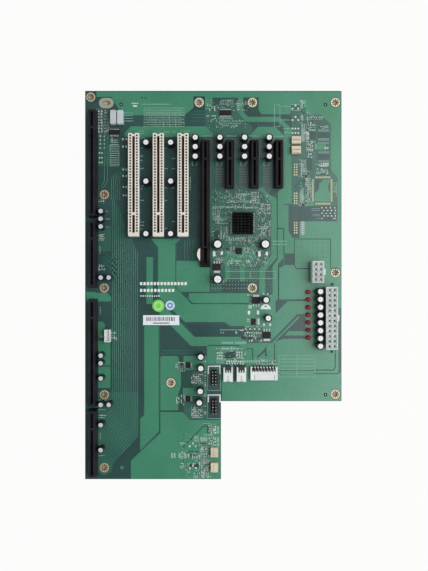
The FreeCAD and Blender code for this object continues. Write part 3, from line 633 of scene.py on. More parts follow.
# copper under the mask, as thin plates over one another: outlines are picked on the photo
plates = dict(
    copper_fields=dict(rise=0.006, finish=fieldMask, outlines=dict(
        sinkField=[(206, 190), (258, 190), (270.5, 203), (270.5, 255), (258, 268), (209.8, 268)],
        leftFieldLow=patch(96, 136, 109, 166),
        clusterField=[(291.5, 104.3), (304, 104.3), (306, 114.3), (320.5, 114.3), (331, 124.2),
                      (331, 170.5), (337.5, 177), (337.5, 206), (291.5, 206)],
        clockField=[(205, 112), (213, 105), (238, 105), (245.5, 121.8), (252, 126), (252, 137),
                    (213, 137), (205.5, 126)],
        regulatorField=[(245, 292), (262, 292), (272, 327), (272, 342), (243, 342), (246.6, 326)],
        hostField=[(97, 392), (138, 392), (138, 437), (113, 463.5), (111.5, 472), (104, 475.5),
                   (97, 471)],
        headerField=patch(214, 346, 247, 372),
        viaField=[(210.8, 268), (258.8, 268), (258.8, 279.8), (222, 279.8), (222, 291.6), (210.8, 291.6)],
        legFieldUp=patch(193, 371, 206.8, 387.5),
        legFieldLow=[(184, 397), (206.8, 397), (206.8, 419.5), (190, 419.5), (184, 413)],
        hostFieldUp=patch(96, 226, 111, 251),
    )),
    grey_fields=dict(rise=0.012, finish=greyMask, outlines=dict(
        slotsField=patch(204, 138, 284, 190), leftField=patch(96, 108, 109, 136),
    )),
    chip_blocks=dict(rise=0.045, finish=blockMask, outlines=dict(
        upper=patch(317.5, 132, 329.5, 138.2), lower=patch(317.5, 153.8, 329.5, 159.8),
        small=patch(309.7, 131.7, 315.7, 139), upright=patch(306.9, 158, 312.3, 170),
        legDark=patch(181.5, 371, 193, 387),
        shadeLeft=[(314.8, 179.6), (323.2, 179.6), (321.4, 181.8), (319.2, 183.4), (318.9, 188.5),
                   (317.2, 191.2), (314.8, 193.2)],
        shadeRight=[(330.3, 182.4), (330.3, 192.6), (328.7, 190.5), (328.3, 186.5), (329, 183.6)],
    )),
    pale_blocks=dict(rise=0.0495, finish=paleMask, outlines=dict(
        stripUpper=patch(301.2, 124.4, 304.8, 141.6), stripSide=patch(305.4, 131.4, 309, 140),
        stripMiddle=patch(300.6, 163.8, 304, 173), stripLower=patch(299.9, 190.2, 303.5, 202),
        stripFoot=patch(300.4, 221.4, 305, 234.4), legWide=patch(202.2, 458.8, 208.4, 463.8),
        legTall=patch(197.9, 453.5, 200.9, 457.8), legUpper=patch(199.8, 448.6, 204.2, 452.2),
        legLower=patch(199.5, 462.5, 202, 465.4), legLeft=patch(195.1, 459.6, 197.7, 462.2),
        legTop=patch(204.6, 447.2, 208.4, 449.8), legFoot=patch(202.2, 474.2, 205, 476.6),
        legSlot=patch(204.6, 466.2, 207.4, 470.8),
    )),
    copper_pours=dict(rise=0.02, finish=pourMask, outlines=dict(
        topBand=[(96.5, 91.6), (275, 91.6), (275, 114.2), (261.5, 114.2), (258.7, 110.5), (258.7, 97.3),
                 (243.3, 97.3), (243.3, 111.5), (248, 116.8), (275, 116.8), (275, 121.8), (245.5, 121.8),
                 (238.3, 112.5), (238.3, 97.6), (212.5, 97.6), (212.5, 105), (205, 111), (205, 96.4),
                 (193.5, 96.4), (193.5, 107.5), (184.5, 115.2), (125, 115.2), (118, 108), (111, 96.8),
                 (96.5, 96.8)],
        aboveIvory=[(131, 126.3), (205.5, 126.3), (213, 133.6), (213, 137), (124.5, 137), (124.5, 133)],
        aboveBlack=[(258, 126.8), (275, 126.8), (284, 135.5), (284, 138), (252, 138), (252, 133)],
        topRight=[(275, 91.6), (341, 91.6), (341, 206), (337.5, 206), (337.5, 177), (331, 170.5),
                  (331, 124.2), (320.5, 114.3), (306, 114.3), (303.8, 104.3), (290.5, 104.3),
                  (290.5, 114.3), (275, 114.3)],
        slantBand=[(275, 116.8), (279, 116.8), (291.5, 128.5), (291.5, 204), (284.2, 204), (284.2, 128),
                   (279, 121.8), (275, 121.8)],
        chipIsland=patch(314.5, 179.5, 330.5, 201.5),
        rightField=[(277.8, 192.5), (281, 187), (284.2, 187), (284.2, 205), (288.5, 205), (288.5, 231.5),
                    (292.5, 238), (299.4, 238), (299.4, 221.4), (337, 221.4), (337.5, 206), (341, 206),
                    (341, 400.6), (222, 400.6), (222, 386), (247, 386), (247, 343), (271.5, 343),
                    (283.5, 338.8), (305.8, 338.8), (305.8, 300.2), (279.2, 300.2), (279.2, 268),
                    (283.8, 266), (284, 228.5), (277.8, 228)],
        risingStrip=[(271.2, 198), (276.8, 198), (276.8, 258), (265.6, 270.5), (265.6, 296), (259.2, 296),
                     (259.2, 268.8), (271.2, 255.5)],
        sinkFoot=[(224.5, 250), (236, 252), (251, 252), (251, 244.5), (257.5, 244.5), (258, 256),
                  (250, 263.5), (224.5, 263.5)],
        curvedStrip=[(223, 263.8), (230, 263.8), (230, 277.5), (223.8, 283.6), (221.6, 282.6),
                     (225, 277.6), (225, 267)],
        besideStrip=[(277.8, 229), (283.4, 229), (283.4, 258), (277.8, 264), (277.8, 299.4), (275.5, 301),
                     (275.5, 313.5), (287.5, 301.3), (305.5, 301.3), (305.5, 314), (297.3, 314),
                     (272.5, 339.5), (263, 340.5), (263, 296.5), (272.6, 294), (272.6, 266),
                     (277.8, 259.5)],
        regulatorPour=[(246.2, 304.6), (263.4, 296.8), (263.4, 327.4), (246.8, 327.4)],
        slotFoot=[(176.4, 260.8), (209.8, 260.8), (209.8, 291.8), (180, 291.8), (176.4, 287.5)],
        wideRun=[(158, 243), (175.4, 243), (175.4, 287.2), (192, 304.1), (245, 304.1), (247.6, 307.4),
                 (246.6, 326), (230, 326), (224.5, 322), (185, 322), (158, 296)],
        ivoryFoot=[(150.8, 238.8), (180.4, 238.8), (175.4, 244.5), (175.4, 243), (158, 243), (158, 247)],
        thinRun=patch(146.4, 257, 153, 304),
        upperBar=[(189, 293.2), (249, 293.2), (249, 303), (192.5, 303), (188.6, 298.4)],
        lowerBar=[(159.5, 309), (167.5, 309), (194.3, 336.9), (241, 336.9), (247.5, 343), (247.5, 386.6),
                  (222, 386.6), (222, 364.5), (207, 364.5), (207, 346), (191, 346), (159.5, 314)],
        tallRun=[(144.2, 326), (158.8, 326), (158.8, 431.6), (140.2, 450.4), (140.2, 418.8),
                 (144.2, 415)],
        holeField=[(160.4, 357.5), (161.8, 356), (177, 356), (178.4, 357.5), (181, 374), (181, 386),
                   (178.2, 394), (178.2, 410.4), (160.4, 410.4)],
        legField=[(160.4, 412), (182.5, 412), (190, 420), (220.6, 420), (220.6, 478.8), (131, 478.8),
                  (131, 460.4), (160.4, 433)],
        legSide=patch(183.6, 356, 206.6, 370), legSideLow=patch(183, 388, 206.6, 396),
        hostTop=[(86.3, 292), (95.6, 292), (95.6, 292.8), (107.5, 292.8), (111, 297), (111, 301.4),
                 (86.3, 301.4)],
        hostMiddle=[(96, 321.6), (102.5, 321.6), (105, 324.5), (105, 338), (96, 338)],
        hostLow=patch(96, 340.5, 110.4, 365.4), hostLowest=patch(96, 366.6, 110.4, 388),
        narrowStrip=patch(240, 263.5, 245, 281),
    )),
    # darker mask where copper is cleared; slotShade and the three header patches are painted shade
    mask_clearings=dict(rise=0.045, finish=clearingShadeMask, outlines=dict(
        # painted shade of the deep channels between the tall ivory slots
        slotShade=patch(126, 139, 199, 238), holePatchLeft=patch(193.6, 96.4, 204.9, 110),
        powerBlock=[(291.6, 206.5), (336.6, 206.5), (336.6, 221), (299, 221), (299, 207.5)],
        squarePatch=patch(284.2, 253.6, 294.2, 265),
        wedge=[(275.6, 301), (287, 301.4), (275.6, 312.8)],
        lampPatch=[(297.6, 314.8), (305.8, 314.8), (305.8, 331), (288, 331), (284, 335.4), (305.8, 335.6),
                   (305.8, 338.4), (283, 338.4), (271.5, 343.4), (271.5, 340.6)],
        armPatch=[(186.5, 324), (224, 324), (229.4, 328.2), (241, 328.2), (241, 336.3), (195, 336.3)],
        leftHolePatch=patch(87.5, 92, 96.5, 103), legBoxA=patch(207.1, 427.2, 210, 433.2),
        legBoxB=patch(190, 453.8, 194.6, 457),
        legBoxC=[(190, 463.8), (198.8, 463.8), (198.8, 469.6), (194.5, 467), (191.5, 467), (188, 469.6)],
        legBoxD=patch(200.6, 443, 206, 446),
        edgeBand=[(338.5, 308), (340.9, 308), (340.9, 371), (338.5, 372.6)],
        forkPatch=[(256.5, 357), (263, 351), (266.3, 346), (267, 356.5), (265.2, 356.5), (264.8, 352),
                   (258, 357.5)],
        # painted shade under the headers' combs
        smallHeaderLeft=patch(220.3, 364.5, 231, 372.5), smallHeaderRight=patch(232.8, 364.5, 246.5, 381),
        wideHeaderComb=patch(251.5, 365, 277, 372),
        ovalMiddle=[(224.5, 352), (235, 351.5), (236, 358), (224, 358.5)],
        sinkCorner=patch(213.2, 230.5, 219.4, 239.8),
    )),
    copper_islands=dict(rise=0.07, finish=pourMask, outlines=dict(
        slantStrip=[(272.4, 342.2), (298.4, 316.2), (299.6, 317.4), (273.6, 343.2)],
        lampStrip=[(288.4, 331.2), (305.6, 331.2), (305.6, 335.4), (284.6, 335.4)],
        chipFoot=patch(306.6, 201.8, 314, 206.2), clusterPatch=patch(316, 143.8, 325.4, 149.6),
        lastSlotBand=[(258, 189.5), (262.3, 187), (271.5, 196.3), (274.6, 196.3), (274.6, 203),
                      (271.2, 203)],
    )),
)

# gaps between the pours, and bundles of traces: the first one, the shift to the last one (or the last one
# itself) and how many there are
copper = dict(
    layerStep=0.0006, gapWidth=0.75, gapRise=0.07, traceWidth=0.85, traceRise=0.02,
    gaps=[
        [(277.3, 196), (277.3, 258), (266.1, 270.8), (266.1, 294)],
        [(277.5, 228.4), (283.9, 228.4), (283.9, 253.8)],
        [(294.4, 266), (294.4, 239), (330.6, 239), (330.6, 268.6), (338, 268.6)],
        [(294.4, 266), (296.9, 268.6), (311, 268.6)],
        [(278.7, 264.6), (278.7, 299.8), (305, 299.8)],
        [(252.5, 359), (252.5, 348.7), (241.7, 348.7), (238.5, 345.4), (208, 345.4)],
        [(274.6, 343), (274.6, 364)],
        [(277.5, 370.1), (333, 370.1), (335.3, 367.8), (335.3, 350)],
        [(277.5, 373.6), (338, 373.6), (340.2, 371.4)],
        [(159.6, 326), (159.6, 432), (131.2, 460)],
        [(160, 411.2), (183, 411.2)],
        [(181.8, 448), (194.3, 435.5), (203.1, 426.5), (208.2, 426.3)],
        [(187.6, 451.7), (199, 451.7)],
        [(175.9, 243), (175.9, 287.4), (191.8, 303.6), (249, 303.6)],
        [(210.2, 262), (210.2, 292.4), (249, 292.4)],
    ],
    bundles=[
        dict(first=[(112.6, 196), (112.6, 409), (101.5, 421)],
             last=[(137.4, 252), (137.4, 436), (112.8, 463)], count=14),
        dict(first=[(212.8, 160), (212.8, 186)], shift=(2, 0), count=2),
        dict(first=[(236.4, 158), (236.4, 186)], shift=(2.6, 0), count=3),
        dict(first=[(260, 158), (260, 186)], shift=(2.4, 0), count=3),
        dict(first=[(104.2, 132), (104.2, 181), (100.4, 187.5), (96.6, 187.5)], shift=(3.2, 0), count=2),
        dict(first=[(111.2, 200), (111.2, 178), (121.5, 167)], shift=(8.4, 0), count=5),
        dict(first=[(97.6, 262), (104, 262), (117, 275)], shift=(0, -10), count=3),
        dict(first=[(184.5, 240), (184.5, 259.5)], shift=(10.4, 0), count=5),
        dict(first=[(213.6, 186), (213.6, 204)], shift=(6.8, 0), count=5),
        dict(first=[(214, 211.5), (219.4, 211.5), (219.4, 222.5), (229.5, 222.5)], shift=(-3, 2.8), count=3),
        dict(first=[(267.8, 268), (267.8, 293)], shift=(3.8, 0), count=3),
        dict(first=[(311, 208.6), (321, 208.6)], shift=(0, 6.6), count=4),
        dict(first=[(306, 224.5), (319, 224.5)], shift=(0, 12), count=7),
        dict(first=[(293, 189.5), (300.5, 181), (306, 181)], shift=(4, 4), count=3),
        dict(first=[(162, 350.6), (200, 350.6)], shift=(0, 2.6), count=2),
        dict(first=[(195, 111), (215, 111)], shift=(-4.5, 10.2), count=4),
    ],
)


def drawPlates(bm, outlines, rise):
    for i, points in enumerate(outlines.values()):
        outline = onBoard(points)
        addPierced(bm, [outline] + holesInside(outline), boardTop, boardTop + rise + i * copper["layerStep"])


def bundleLines():
    lines = []
    for bundle in copper["bundles"]:
        dx, dy = bundle.get("shift", (0, 0))
        last = bundle.get("last") or [(x + dx, y + dy) for x, y in bundle["first"]]
        ends = list(zip(onBoard(bundle["first"]), onBoard(last)))
        for i in range(bundle["count"]):
            share = i / (bundle["count"] - 1)
            lines.append([Vector(one).lerp(Vector(other), share) for one, other in ends])
    return lines


def buildCopper():
    for name, look in plates.items():
        settle(name, partMesh(drawPlates, look["outlines"], look["rise"]), look["finish"], "green_board")
    gaps = [onBoard(line) for line in copper["gaps"]]
    ribbons("pour_gaps", gaps, copper["gapWidth"], copper["gapRise"], gapMask, "green_board")
    traces = bundleLines()
    ribbons("signal_traces", traces, copper["traceWidth"], copper["traceRise"], traceMask, "green_board")


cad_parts["circuit_board"].data.materials.clear()
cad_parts["circuit_board"].data.materials.append(bareMask)
buildCopper()
print("board artwork ready")


def buildScrewRings():
    inner, outer, bite = screws["inner"], screws["outer"], screws["bite"]
    barrel = inner + screws["wall"]
    under, top = boardUnder - screws["plate"], boardTop + screws["plate"]
    section = [(inner, under), (outer, under), (outer, boardUnder + bite), (barrel, boardUnder + bite),
               (barrel, boardTop - bite), (outer, boardTop - bite), (outer, top), (inner, top)]
    ring = partMesh(addTurned, section, screws["sides"])
    places = [(*at(*p), 0.0, 0.0) for p in screws["places"]]
    # rings near the left edge take the darker copy, as painted shade of the board's dimmer side
    dull = [p for p in places if p[0] < boardLow.x + screws["shadedReach"]]
    bright = [p for p in places if p not in dull]
    scatter("screw_rings", ring, bright, goldRing, "tinned_pin")
    scatter("worn_rings", ring, dull, shadedRing, "tinned_pin")
    section = washer(outer - screws["haloLap"], screws["halo"], boardTop, top - screws["haloDrop"])
    scatter("screw_halos", partMesh(addTurned, section, screws["sides"]), bright, haloMask, "green_board")
    reach, size = screws["starCircle"], (screws["starDot"], screws["starDot"], screws["starRise"])
    star = [2 * math.pi * i / screws["starCount"] for i in range(screws["starCount"])]
    dots = [(x + reach * math.cos(a), y + reach * math.sin(a), top, 0.0, size)
            for x, y, z, turn in places for a in star]
    scatter("screw_ring_vias", unitDot, dots, viaBrown, "tinned_pin")


def drawOblongPad(bm):
    x, y = at(*oblong["place"])
    inner = holeLoop(x, y, oblong["inner"], oblong["reach"])
    outer = holeLoop(x, y, oblong["outer"], oblong["reach"] + oblong["lap"])
    barrel = holeLoop(x, y, oblong["inner"] - oblong["lining"], oblong["reach"])
    under, top = boardUnder - oblong["plate"], boardTop + oblong["plate"]
    addPierced(bm, [outer, inner], boardTop, top)
    addPierced(bm, [outer, inner], under, boardUnder)
    addPierced(bm, [inner, barrel], under, top)


buildScrewRings()
settle("oblong_pad", partMesh(drawOblongPad), dullTin, "tinned_pin")

# capacitors: shrink sleeve rolled over the edge of a scored can
cans = dict(
    slot_capacitors=dict(mouth=2.1, stripe=180.0),
    # the host capacitors' tops take the darker copy of the can metal: painted shade
    host_capacitors=dict(mouth=1.85, stripe=0.0, finish=canShaded),
    filter_capacitors=dict(mouth=2.12, stripe=180.0),
    regulator_capacitors=dict(mouth=2.2, stripe=90.0),
    bulk_capacitors=dict(mouth=2.95, stripe=270.0),
)
# shares of the can's radius, with heights above its foot or depths below its top
canShape = dict(
    fit=0.995, sides=20, mouthDepth=0.3, stripeFoot=2.1, stripeSteps=8, stripeSweep=64.0,
    sleeveFoot=[(0, 0.05), (0.9, 0.05), (1, 0.35), (1, 1.1), (0.93, 1.45), (0.93, 1.7), (1, 2.05)],
    sleeveTop=[(1, 0.55), (0.96, 0.16), (0.9, 0.0)],
    stripeTop=[(1.003, 0.55), (0.965, 0.15), (0.9, 0.0), (0.88, 0.1), (0.9, 0.6)],
    scoreAngle=1.2, sectorSweep=87.6, sectorSteps=5, sectorTip=0.06, sectorFit=0.99, sectorDepth=(0.35, 0.05),
)


# four sectors, with the score lines left between them
def drawCanTop(bm, mouth, height):
    look = canShape
    tip, rim = look["sectorTip"], mouth * look["sectorFit"]
    base, top = (height - depth for depth in look["sectorDepth"])
    steps = [look["sectorSweep"] * i / look["sectorSteps"] for i in range(look["sectorSteps"] + 1)]
    for turn in (0, 90, 180, 270):
        arc = [math.radians(turn + look["scoreAngle"] + step) for step in steps]
        middle = math.radians(turn + 45)
        points = [(tip * math.cos(middle), tip * math.sin(middle))]
        points += [(rim * math.cos(a), rim * math.sin(a)) for a in arc]
        addPrism(bm, points, base, top)


def buildCans(node, mouth, stripe, finish=canMetal):
    boxes = solidsOf(node)
    low, high = boxes[0]
    look = canShape
    radius = (high.x - low.x) / 2 * look["fit"]
    height = high.z - low.z
    places = [((a.x + b.x) / 2, (a.y + b.y) / 2, a.z, stripe) for a, b in boxes]
    floor = height - look["mouthDepth"]
    profile = [(radius * share, z) for share, z in look["sleeveFoot"]]
    profile += [(radius * share, height - drop) for share, drop in look["sleeveTop"]]
    profile += [(mouth, height), (mouth, floor), (0, floor)]
    sleeve = partMesh(addLathe, profile, look["sides"])
    scatter(node + "_sleeves", sleeve, places, canSleeve, "can_sleeve", node)
    scatter(node + "_tops", partMesh(drawCanTop, mouth, height), places, finish, "tinned_pin")
    section = [(radius * share, height - drop) for share, drop in look["stripeTop"]]
    section = [(section[0][0], look["stripeFoot"])] + section + [(section[-1][0], look["stripeFoot"])]
    sweep = look["stripeSweep"]
    band = partMesh(addTurned, section, look["stripeSteps"], -sweep / 2, sweep)
    scatter(node + "_stripes", band, places, stripeInk, "can_sleeve")
    return places


canPlaces = [p for node, look in cans.items() for p in buildCans(node, **look)]

# lamps: a flanged dome in a printed ring, with the foot of its leads at one side
lamps = dict(
    rim=0.99, body=0.92, lift=0.05, flangeTop=0.9, bodyFoot=1.0, sides=20, ring=1.2, ringWidth=0.25,
    ringRise=0.07, footAt=2.8, foot=(2.1, 1.6, 0.6),
    # shares of the body's radius, with depths below the top
    dome=[(1, 1.7), (0.92, 1.0), (0.7, 0.4), (0.35, 0.07), (0, 0.0)],
)


def buildLamps():
    boxes = solidsOf("indicator_lamps")
    flange = (boxes[0][1].x - boxes[0][0].x) / 2 * lamps["rim"]
    height = boxes[0][1].z - boxes[0][0].z
    body, lift = flange * lamps["body"], lamps["lift"]
    profile = [(0, lift), (flange, lift), (flange, lamps["flangeTop"]), (body, lamps["bodyFoot"])]
    profile += [(body * share, height - drop) for share, drop in lamps["dome"]]
    places = [((a.x + b.x) / 2, (a.y + b.y) / 2, a.z, 0.0) for a, b in boxes]
    dome = partMesh(addLathe, profile, lamps["sides"])
    scatter("lamp_domes", dome, places, redLamp, "red_lamp", "indicator_lamps")
    inner = flange * lamps["ring"]
    section = washer(inner, inner + lamps["ringWidth"], 0.0, lamps["ringRise"])
    scatter("lamp_rings", partMesh(addTurned, section, lamps["sides"]), places, tanInk, "white_label")
    feet = [(x + lamps["footAt"], y, boardTop, 0.0, lamps["foot"]) for x, y, z, turn in places]
    scatter("lamp_feet", unitPlate, feet, redLamp, "red_lamp")
    return places


lampPlaces = buildLamps()
print("capacitors and lamps ready")

# ivory slots: two rows of small cavities beside a keyed opening, on a base narrower than the top
ivorySlot = dict(
    nodes=["ivory_slot_1", "ivory_slot_2", "ivory_slot_3"], row=2.74, dot=1.5, opening=2.2, pitch=2.31,
    firstDot=1.9, dots=35, endWall=2.3, footWall=2.9, keyAt=66.2, keyWidth=2.0, notch=1.0, openingDepth=7.6,
    dotDepth=3.6, flange=3.0, baseWidth=8.0, edge=0.25, edgeBend=0.3, contactDrop=1.1,
    contactSize=(1.41, 1.41, 0.4), leastStep=0.01,
)


def buildIvorySlot(node):
    low, high = boxOf(node)
    middle = (low.x + high.x) / 2
    look = ivorySlot
    length = high.y - low.y
    dotRows = [look["firstDot"] + look["pitch"] * i for i in range(look["dots"])]
    half, halfKey = look["dot"] / 2, look["keyWidth"] / 2
    xs = [middle - look["baseWidth"] / 2, middle - look["row"] - half, middle - look["row"] + half,
          middle - look["opening"] / 2]
    xs += [2 * middle - x for x in reversed(xs)]
    cuts = {0.0, look["notch"], look["endWall"], look["keyAt"] - halfKey, look["keyAt"] + halfKey}
    cuts |= {length, length - look["footWall"]}
    cuts |= {d + s for d in dotRows for s in (-half, half)}
    ys = sorted(high.y - c for c in cuts)
    ys = [y for i, y in enumerate(ys) if i == 0 or y - ys[i - 1] > look["leastStep"]]

    def heightOf(x, y):
        along = high.y - y
        inside = look["endWall"] < along < length - look["footWall"] and abs(along - look["keyAt"]) > halfKey
        if abs(x - middle) < look["opening"] / 2 and (inside or along < look["notch"]):
            return high.z - look["openingDepth"]
        if abs(abs(x - middle) - look["row"]) < half and any(abs(along - d) < half for d in dotRows):
            return high.z - look["dotDepth"]
        return high.z

    bm = bmesh.new()
    addCells(bm, xs, ys, heightOf, low.z)
    out, edge = high.x - middle, look["edge"]
    bend = look["edgeBend"] * edge
    lip = [(xs[-1] - middle, high.z - look["flange"]), (out, high.z - look["flange"]), (out, high.z - edge),
           (out - bend, high.z - bend), (out - edge, high.z), (xs[-1] - middle, high.z)]
    for side in (-1, 1):
        addSheet(bm, [(middle + side * x, z) for x, z in lip], low.y, high.y)
    settle(node + "_body", meshOf(bm), ivoryPlastic, "ivory_plastic", node)
    return [(middle + side * look["row"], high.y - d, high.z - look["contactDrop"], 0.0, look["contactSize"])
            for d in dotRows for side in (-1, 1)]


# a very dark plate near the top of each cavity: the contact, painted dark as the cavity's shade
cavityPlaces = [place for node in ivorySlot["nodes"] for place in buildIvorySlot(node)]
scatter("cavity_contacts", unitPlate, cavityPlaces, cavityShadeBronze, "tinned_pin")

# black slots and every other rigid part keep the frame's shape with broken edges
hostSlots = ["host_slot_a", "host_slot_b", "host_slot_c", "host_slot_d"]
blackSlots = ["long_black_slot", "short_black_slot_1", "short_black_slot_2", "short_black_slot_3"]
softParts = [
    dict(slot="black_plastic", finish=hostPlastic, width=0.22, nodes=hostSlots),
    dict(slot="black_plastic", finish=blackPlastic, width=0.22, nodes=blackSlots + [
        "card_retainer", "pin_header_1", "pin_header_2"]),
    dict(slot="ivory_plastic", finish=ivoryPlastic, width=0.2, nodes=["retainer_clip"]),
    dict(slot="white_nylon", finish=socketNylon, width=0.2, nodes=["main_power_socket", "aux_power_socket"]),
    dict(slot="white_nylon", finish=whiteNylon, width=0.2, nodes=[
        "small_header_1", "small_header_2", "wide_header", "upright_wafer"]),
    dict(slot="white_nylon", finish=greyNylon, width=0.2, nodes=["white_wafer_1", "white_wafer_2"]),
    dict(slot="cream_plastic", finish=creamPlastic, width=0.18, nodes=[
        "cream_wafer_1", "cream_wafer_2", "cream_wafer_3", "cream_wafer_4"]),
    dict(slot="chip_epoxy", finish=chipEpoxy, width=0.14, nodes=[
        "logic_chip", "clock_chip", "switch_chip", "driver_chip_1", "driver_chip_2", "regulator_1",
        "regulator_2", "regulator_3", "choke", "bridge_chip"]),
    dict(slot="black_anodised", finish=blackAnodised, width=0.12, nodes=["heat_sink"]),
    dict(slot="tinned_pin", finish=tinMetal, width=0.08, nodes=[
        "main_power_pins", "aux_power_pins", "white_wafer_pins", "pin_header_pins"]),
    dict(slot="tinned_pin", finish=solderMetal, width=0.08, nodes=["regulator_tabs"]),
    # the side headers' pins are painted dark, as the shade in their comb gaps
    dict(slot="tinned_pin", finish=pinShade, width=0.08, nodes=["side_header_pins", "cream_wafer_feet"]),
    dict(slot="grey_pad", finish=padGrey, width=0.05, nodes=["thermal_pad"]),
    dict(slot="white_label", finish=labelPaper, width=0.03, nodes=["label_sticker"]),
    dict(slot="green_label", finish=greenPaper, width=0.03, nodes=["green_sticker"]),
    dict(slot="blue_label", finish=bluePaper, width=0.03, nodes=["blue_sticker"]),
]
for look in softParts:
    for node in look["nodes"]:
        softCopy(node, look["finish"], look["slot"], look["width"])
print("slots, sockets and connectors ready")

# bowed contact springs along both walls of every opening
springs = dict(
    black=dict(nodes=blackSlots, width=0.5, pitch=1.0, margin=2.3, reach=0.62, crown=10.7, finish=contactDim),
    host=dict(nodes=hostSlots, width=0.5, pitch=1.0, margin=2.3, reach=0.62, crown=9.3, finish=contactDim),
    ivory=dict(nodes=ivorySlot["nodes"], width=1.0, pitch=1.27, margin=3.6, reach=0.16, crown=9.3,
               finish=contactGold),
)
springBow = dict(foot=3.0, wall=1.05, tip=0.86, thick=0.2, bendDrop=1.9)


def buildSprings(name, nodes, width, pitch, margin, reach, crown, finish):
    foot, wall, tip, thick = (springBow[key] for key in ("foot", "wall", "tip", "thick"))
    bend = crown - springBow["bendDrop"]
    bow = [(wall, foot), (reach, bend), (tip, crown), (wall, crown), (reach + thick, bend),
           (wall + thick, foot)]
    spring = partMesh(addSheet, bow, -width / 2, width / 2)
    places = []
    for node in nodes:
        low, high = boxOf(node)
        for i in range(int((high.y - low.y - 2 * margin) / pitch) + 1):
            y = high.y - margin - i * pitch
            places += [((low.x + high.x) / 2, y, boardTop, turn) for turn in (0.0, 180.0)]
    scatter(name + "_springs", spring, places, finish, "tinned_pin")
    return places


springPlaces = [p for name, look in springs.items() for p in buildSprings(name, **look)]

# power sockets: a nylon liner round every pin, set a little below the top, and the upright wafer's floor
liner = dict(
    sockets=dict(main_power_socket="main_power_pins", aux_power_socket="aux_power_pins"), size=3.2, clip=0.6,
    bore=2.3, pinBore=1.3, drop=0.3, ledge=1.5, depth=6.0, floorDrop=2.4, floorThick=1.0, floorInset=0.7,
)


def drawLiner(bm):
    half, bore, pin = liner["size"] / 2, liner["bore"] / 2, liner["pinBore"] / 2
    clip = half * liner["clip"]
    outer = [(-half, -clip), (-clip, -half), (clip, -half), (half, -clip), (half, half), (-half, half)]
    addPierced(bm, [outer, patch(-bore, -bore, bore, bore)], -liner["ledge"], 0.0)
    addPierced(bm, [outer, patch(-pin, -pin, pin, pin)], -liner["depth"], -liner["ledge"])


def buildLiners():
    places = []
    for socket, pins in liner["sockets"].items():
        top = boxOf(socket)[1].z - liner["drop"]
        places += [((a.x + b.x) / 2, (a.y + b.y) / 2, top, 0.0) for a, b in solidsOf(pins)]
    scatter("socket_liners", partMesh(drawLiner), places, socketNylon, "white_nylon")
    low, high = boxOf("upright_wafer")
    inset, top = liner["floorInset"], high.z - liner["floorDrop"]
    edges = patch(low.x + inset, low.y + inset, high.x - inset, high.y - inset)
    mesh = partMesh(addPrism, edges, top - liner["floorThick"], top)
    settle("upright_floor", mesh, whiteNylon, "white_nylon")


buildLiners()

# gull-wing leads: the axis of the sides that carry them, how many and their pitch
leads = dict(
    width=0.42,
    wing=[(-0.2, 0.7), (0.3, 0.7), (0.6, 0.05), (1.25, 0.05), (1.25, 0.2), (0.72, 0.2), (0.42, 0.86),
          (-0.2, 0.86)],
    rows=dict(logic_chip=("y", 7, 1.1), clock_chip=("y", 12, 0.8), switch_chip=("x", 4, 1.2),
              driver_chip_1=("x", 4, 1.15), driver_chip_2=("x", 4, 1.15)),
)


def buildLeads():
    places = []
    for node, (sides, count, pitch) in leads["rows"].items():
        low, high = boxOf(node)
        middle = (low + high) / 2
        for i in range(count):
            along = (i - (count - 1) / 2) * pitch
            if sides == "x":
                feet = [(high.x, middle.y + along, 0.0), (low.x, middle.y + along, 180.0)]
            else:
                feet = [(middle.x + along, high.y, 90.0), (middle.x + along, low.y, 270.0)]
            places += [(x, y, boardTop, turn) for x, y, turn in feet]
    lead = partMesh(addSheet, leads["wing"], -leads["width"] / 2, leads["width"] / 2)
    scatter("chip_leads", lead, places, solderMetal, "tinned_pin")


buildLeads()

